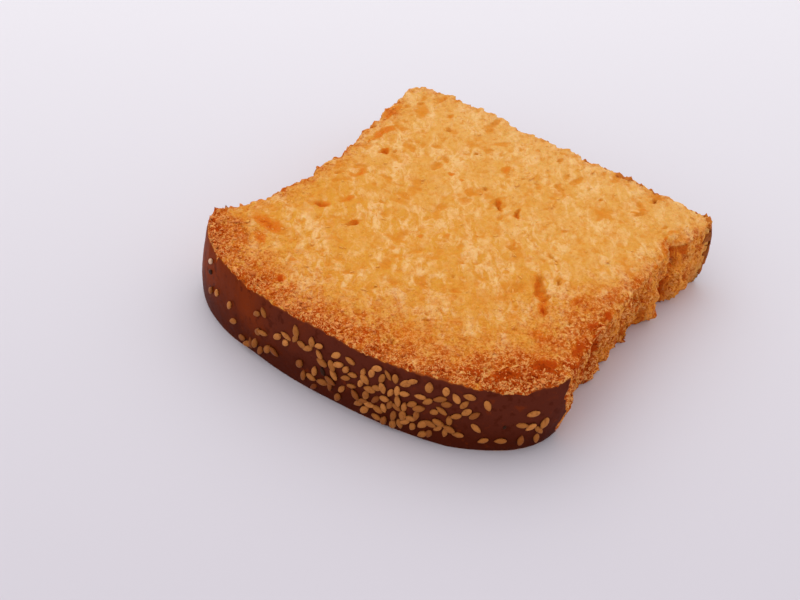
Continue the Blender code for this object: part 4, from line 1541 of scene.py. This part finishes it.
def grain_spots(settings, draw):
    graph = bpy.context.evaluated_depsgraph_get()
    surface = BVHTree.FromObject(bpy.data.objects["crumb"], graph)
    outline = RELIEF.outline
    left = outline.s[outline.index_near(-SHOULDER[0], TORN_FROM)] - outline.length
    right = outline.s[outline.index_near(SHOULDER[1], TORN_FROM)]

    def beside_crust():
        s = draw.uniform(left, right)
        place, normal = outline.at(np.array([s]))
        return place[0] - normal[0] * (draw.expovariate(1 / GRAIN_REACH) - 0.1 * MM)

    def anywhere():
        return draw.uniform(-52, 52) * MM, draw.uniform(-48, 52) * MM

    spots = upper_spots(surface, draw, settings.by_crust, beside_crust)
    spots += upper_spots(surface, draw, settings.on_cut, anywhere)
    return spots + side_spots(surface, draw, settings.on_sides)


def grain_matrix(draw, size, spot, normal):
    turn = Matrix.Rotation(draw.uniform(0, 2 * math.pi), 4, Vector((0, 0, 1)))
    lean = normal.to_track_quat("Z", "Y").to_matrix().to_4x4()
    size = size * draw.lognormvariate(0, GRAIN_SPREAD)
    shape = Matrix.Diagonal([draw.uniform(*share) for share in GRAIN_SHAPE] + [1.0])
    lift = normal * size * draw.uniform(-0.15, 0.25)
    return Matrix.Translation(spot + lift) @ lean @ turn @ Matrix.Scale(size, 4) @ shape


def grain_finish(settings):
    finish = Finish("fine_crumbs", roughness=0.75, specular=0.05)
    tint, toast = finish.attribute("tint"), finish.attribute("toast")
    browned = finish.mix(settings.dark, settings.light, tint)
    share = (toast + 0.3 * (tint - 0.5)).between(0.0, 0.5)
    finish.colour(finish.mix(settings.pale, browned, share))
    finish.bump(finish.noise(0.15 * MM), 0.05 * MM, 0.5)
    return finish.material


class RUSK_OT_grains(bpy.types.Operator):
    """Makes the crisp fine crumbs on the cut and along its edges"""

    bl_idname = "rusk.grains"
    bl_label = "Fine crumbs"

    def execute(self, context):
        settings = context.scene.rusk_grains
        draw = random.Random(GRAIN_DRAW)
        spots = grain_spots(settings, draw)
        places = np.array([tuple(spot) for spot, _ in spots]) + MIDDLE
        _, distance = RELIEF.outline.nearest(places)
        toast = RELIEF.toasting(places, distance, RELIEF.distance_to_crust(places))
        matrices = [grain_matrix(draw, settings.size, *spot) for spot in spots]
        torn = torn_share(places[:, 0], places[:, 1]) * (places[:, 2] < THICKNESS - 1.5 * MM)
        tints = [draw.betavariate(1.4, 1.2) for _ in spots]
        marks = {"tint": tints, "toast": np.maximum(toast, 0.7 * torn).tolist()}
        bm = bmesh.new()
        bmesh.ops.create_icosphere(bm, subdivisions=1, radius=0.5)
        for v in bm.verts:
            v.co *= draw.uniform(0.75, 1.2)
        mesh = joined_copies("crumb_grains", mesh_from(bm, "grain_shape"), matrices, marks)
        grains = new_object("crumb_grains", mesh, grain_finish(settings))
        finish_piece(grains)
        return {"FINISHED"}


# ---- The stage ---------------------------------------------------------------------------


class StageSettings(bpy.types.PropertyGroup):
    # Painted light falloff: the table is painted darker near the camera and paler towards its far
    # left corner, under the key light.
    near: colour_prop("Near table", "The table top near the camera", (0.585, 0.55, 0.62))
    far: colour_prop("Far table", "The table top at the back", (0.815, 0.80, 0.855))
    key: bpy.props.FloatProperty(
        name="Key light", description="Power of the large soft light", default=2.4, unit="POWER"
    )
    fill: bpy.props.FloatProperty(
        name="Fill", description="Strength of the light from all round", default=0.95, min=0
    )
    lens: bpy.props.FloatProperty(
        name="Lens", description="Focal length in millimetres", default=85.0, min=10
    )


CAMERA_AZIMUTH = math.radians(36.3)
CAMERA_ELEVATION = math.radians(37.7)
CAMERA_PLACE = Vector((204.4, -299.8, 279.9)) * MM - Vector(MIDDLE)
SENSOR = 36.0
KEY_PLACE = (-0.45, 0.34, 0.74)
KEY_SIZE = 1.3
KEY_COLOUR = (1.0, 0.985, 0.96)
ROOM_COLOUR = (1.0, 0.985, 0.985, 1.0)
TABLE_HALF = 2.0
# The way in which the table's painted light falloff grows paler.
TOWARDS_PAINTED_LIGHT = (-0.5, 0.85, 0.0)


def add_camera(lens):
    back = Vector(
        (
            math.sin(CAMERA_AZIMUTH) * math.cos(CAMERA_ELEVATION),
            -math.cos(CAMERA_AZIMUTH) * math.cos(CAMERA_ELEVATION),
            math.sin(CAMERA_ELEVATION),
        )
    )
    camera = bpy.data.objects.new("camera", bpy.data.cameras.new("camera"))
    bpy.context.scene.collection.objects.link(camera)
    camera.data.lens = lens
    camera.data.sensor_width = SENSOR
    camera.data.clip_start = 0.01
    camera.location = CAMERA_PLACE
    camera.rotation_euler = (-back).to_track_quat("-Z", "Y").to_euler()
    bpy.context.scene.camera = camera


def add_key_light(power):
    light = bpy.data.lights.new("key", "AREA")
    light.shape = "DISK"
    light.size = KEY_SIZE
    light.energy = power
    light.color = KEY_COLOUR
    made = bpy.data.objects.new("key", light)
    bpy.context.scene.collection.objects.link(made)
    made.location = KEY_PLACE
    made.rotation_euler = (-Vector(KEY_PLACE)).to_track_quat("-Z", "Y").to_euler()


def table_painted_falloff_finish(near, far):
    """A table top painted paler towards its far left corner, under the key light, and darker near
    the camera: a painted light falloff.
    """
    finish = Finish("table_top_painted_falloff", roughness=0.55, specular=0.2)
    sockets = {0: finish.place, 1: TOWARDS_PAINTED_LIGHT}
    along = finish.node("ShaderNodeVectorMath", {"operation": "DOT_PRODUCT"}, sockets)
    share = Level(finish, along.outputs["Value"]).between(-0.30, 0.34)
    finish.colour(finish.mix(near, far, share))
    return finish.material


class RUSK_OT_stage(bpy.types.Operator):
    """Makes the pale table top, the soft light and the camera"""

    bl_idname = "rusk.stage"
    bl_label = "Stage"

    def execute(self, context):
        settings = context.scene.rusk_stage
        bm = bmesh.new()
        bmesh.ops.create_grid(bm, x_segments=2, y_segments=2, size=TABLE_HALF)
        finish = table_painted_falloff_finish(settings.near, settings.far)
        floor = new_object("table_top_painted_falloff", mesh_from(bm, "table_top_painted_falloff"), finish)
        add_camera(settings.lens)
        add_key_light(settings.key)
        world = bpy.data.worlds.new("soft room")
        world.use_nodes = True
        background = world.node_tree.nodes["Background"]
        background.inputs["Color"].default_value = ROOM_COLOUR
        background.inputs["Strength"].default_value = settings.fill
        context.scene.world = world
        context.scene.view_settings.view_transform = "Standard"
        return {"FINISHED"}


# ---- The add-on --------------------------------------------------------------------------


class RUSK_PT_panel(bpy.types.Panel):
    """Lists the pieces of the rusk"""

    bl_idname = "RUSK_PT_panel"
    bl_label = "Rusk"
    bl_space_type = "VIEW_3D"
    bl_region_type = "UI"
    bl_category = "Rusk"

    def draw(self, context):
        for operator in OPERATORS:
            self.layout.operator(operator.bl_idname)


OPERATORS = (
    RUSK_OT_stage,
    RUSK_OT_crumb,
    RUSK_OT_glazed_crust,
    RUSK_OT_base_crust,
    RUSK_OT_seeds,
    RUSK_OT_dark_seeds,
    RUSK_OT_grains,
)
SETTINGS = {
    "rusk_crumb": CrumbSettings,
    "rusk_crust": CrustSettings,
    "rusk_seeds": SeedSettings,
    "rusk_grains": GrainSettings,
    "rusk_stage": StageSettings,
}


def register():
    for group in SETTINGS.values():
        bpy.utils.register_class(group)
    for name, group in SETTINGS.items():
        setattr(bpy.types.Scene, name, bpy.props.PointerProperty(type=group))
    for operator in OPERATORS:
        bpy.utils.register_class(operator)
    bpy.utils.register_class(RUSK_PT_panel)


def unregister():
    bpy.utils.unregister_class(RUSK_PT_panel)
    for operator in reversed(OPERATORS):
        bpy.utils.unregister_class(operator)
    for name in SETTINGS:
        delattr(bpy.types.Scene, name)
    for group in reversed(list(SETTINGS.values())):
        bpy.utils.unregister_class(group)


def main():
    register()
    bpy.ops.rusk.stage()
    bpy.ops.rusk.crumb()
    bpy.ops.rusk.glazed_crust()
    bpy.ops.rusk.base_crust()
    bpy.ops.rusk.seeds()
    bpy.ops.rusk.dark_seeds()
    bpy.ops.rusk.grains()


if __name__ == "__main__":
    main()
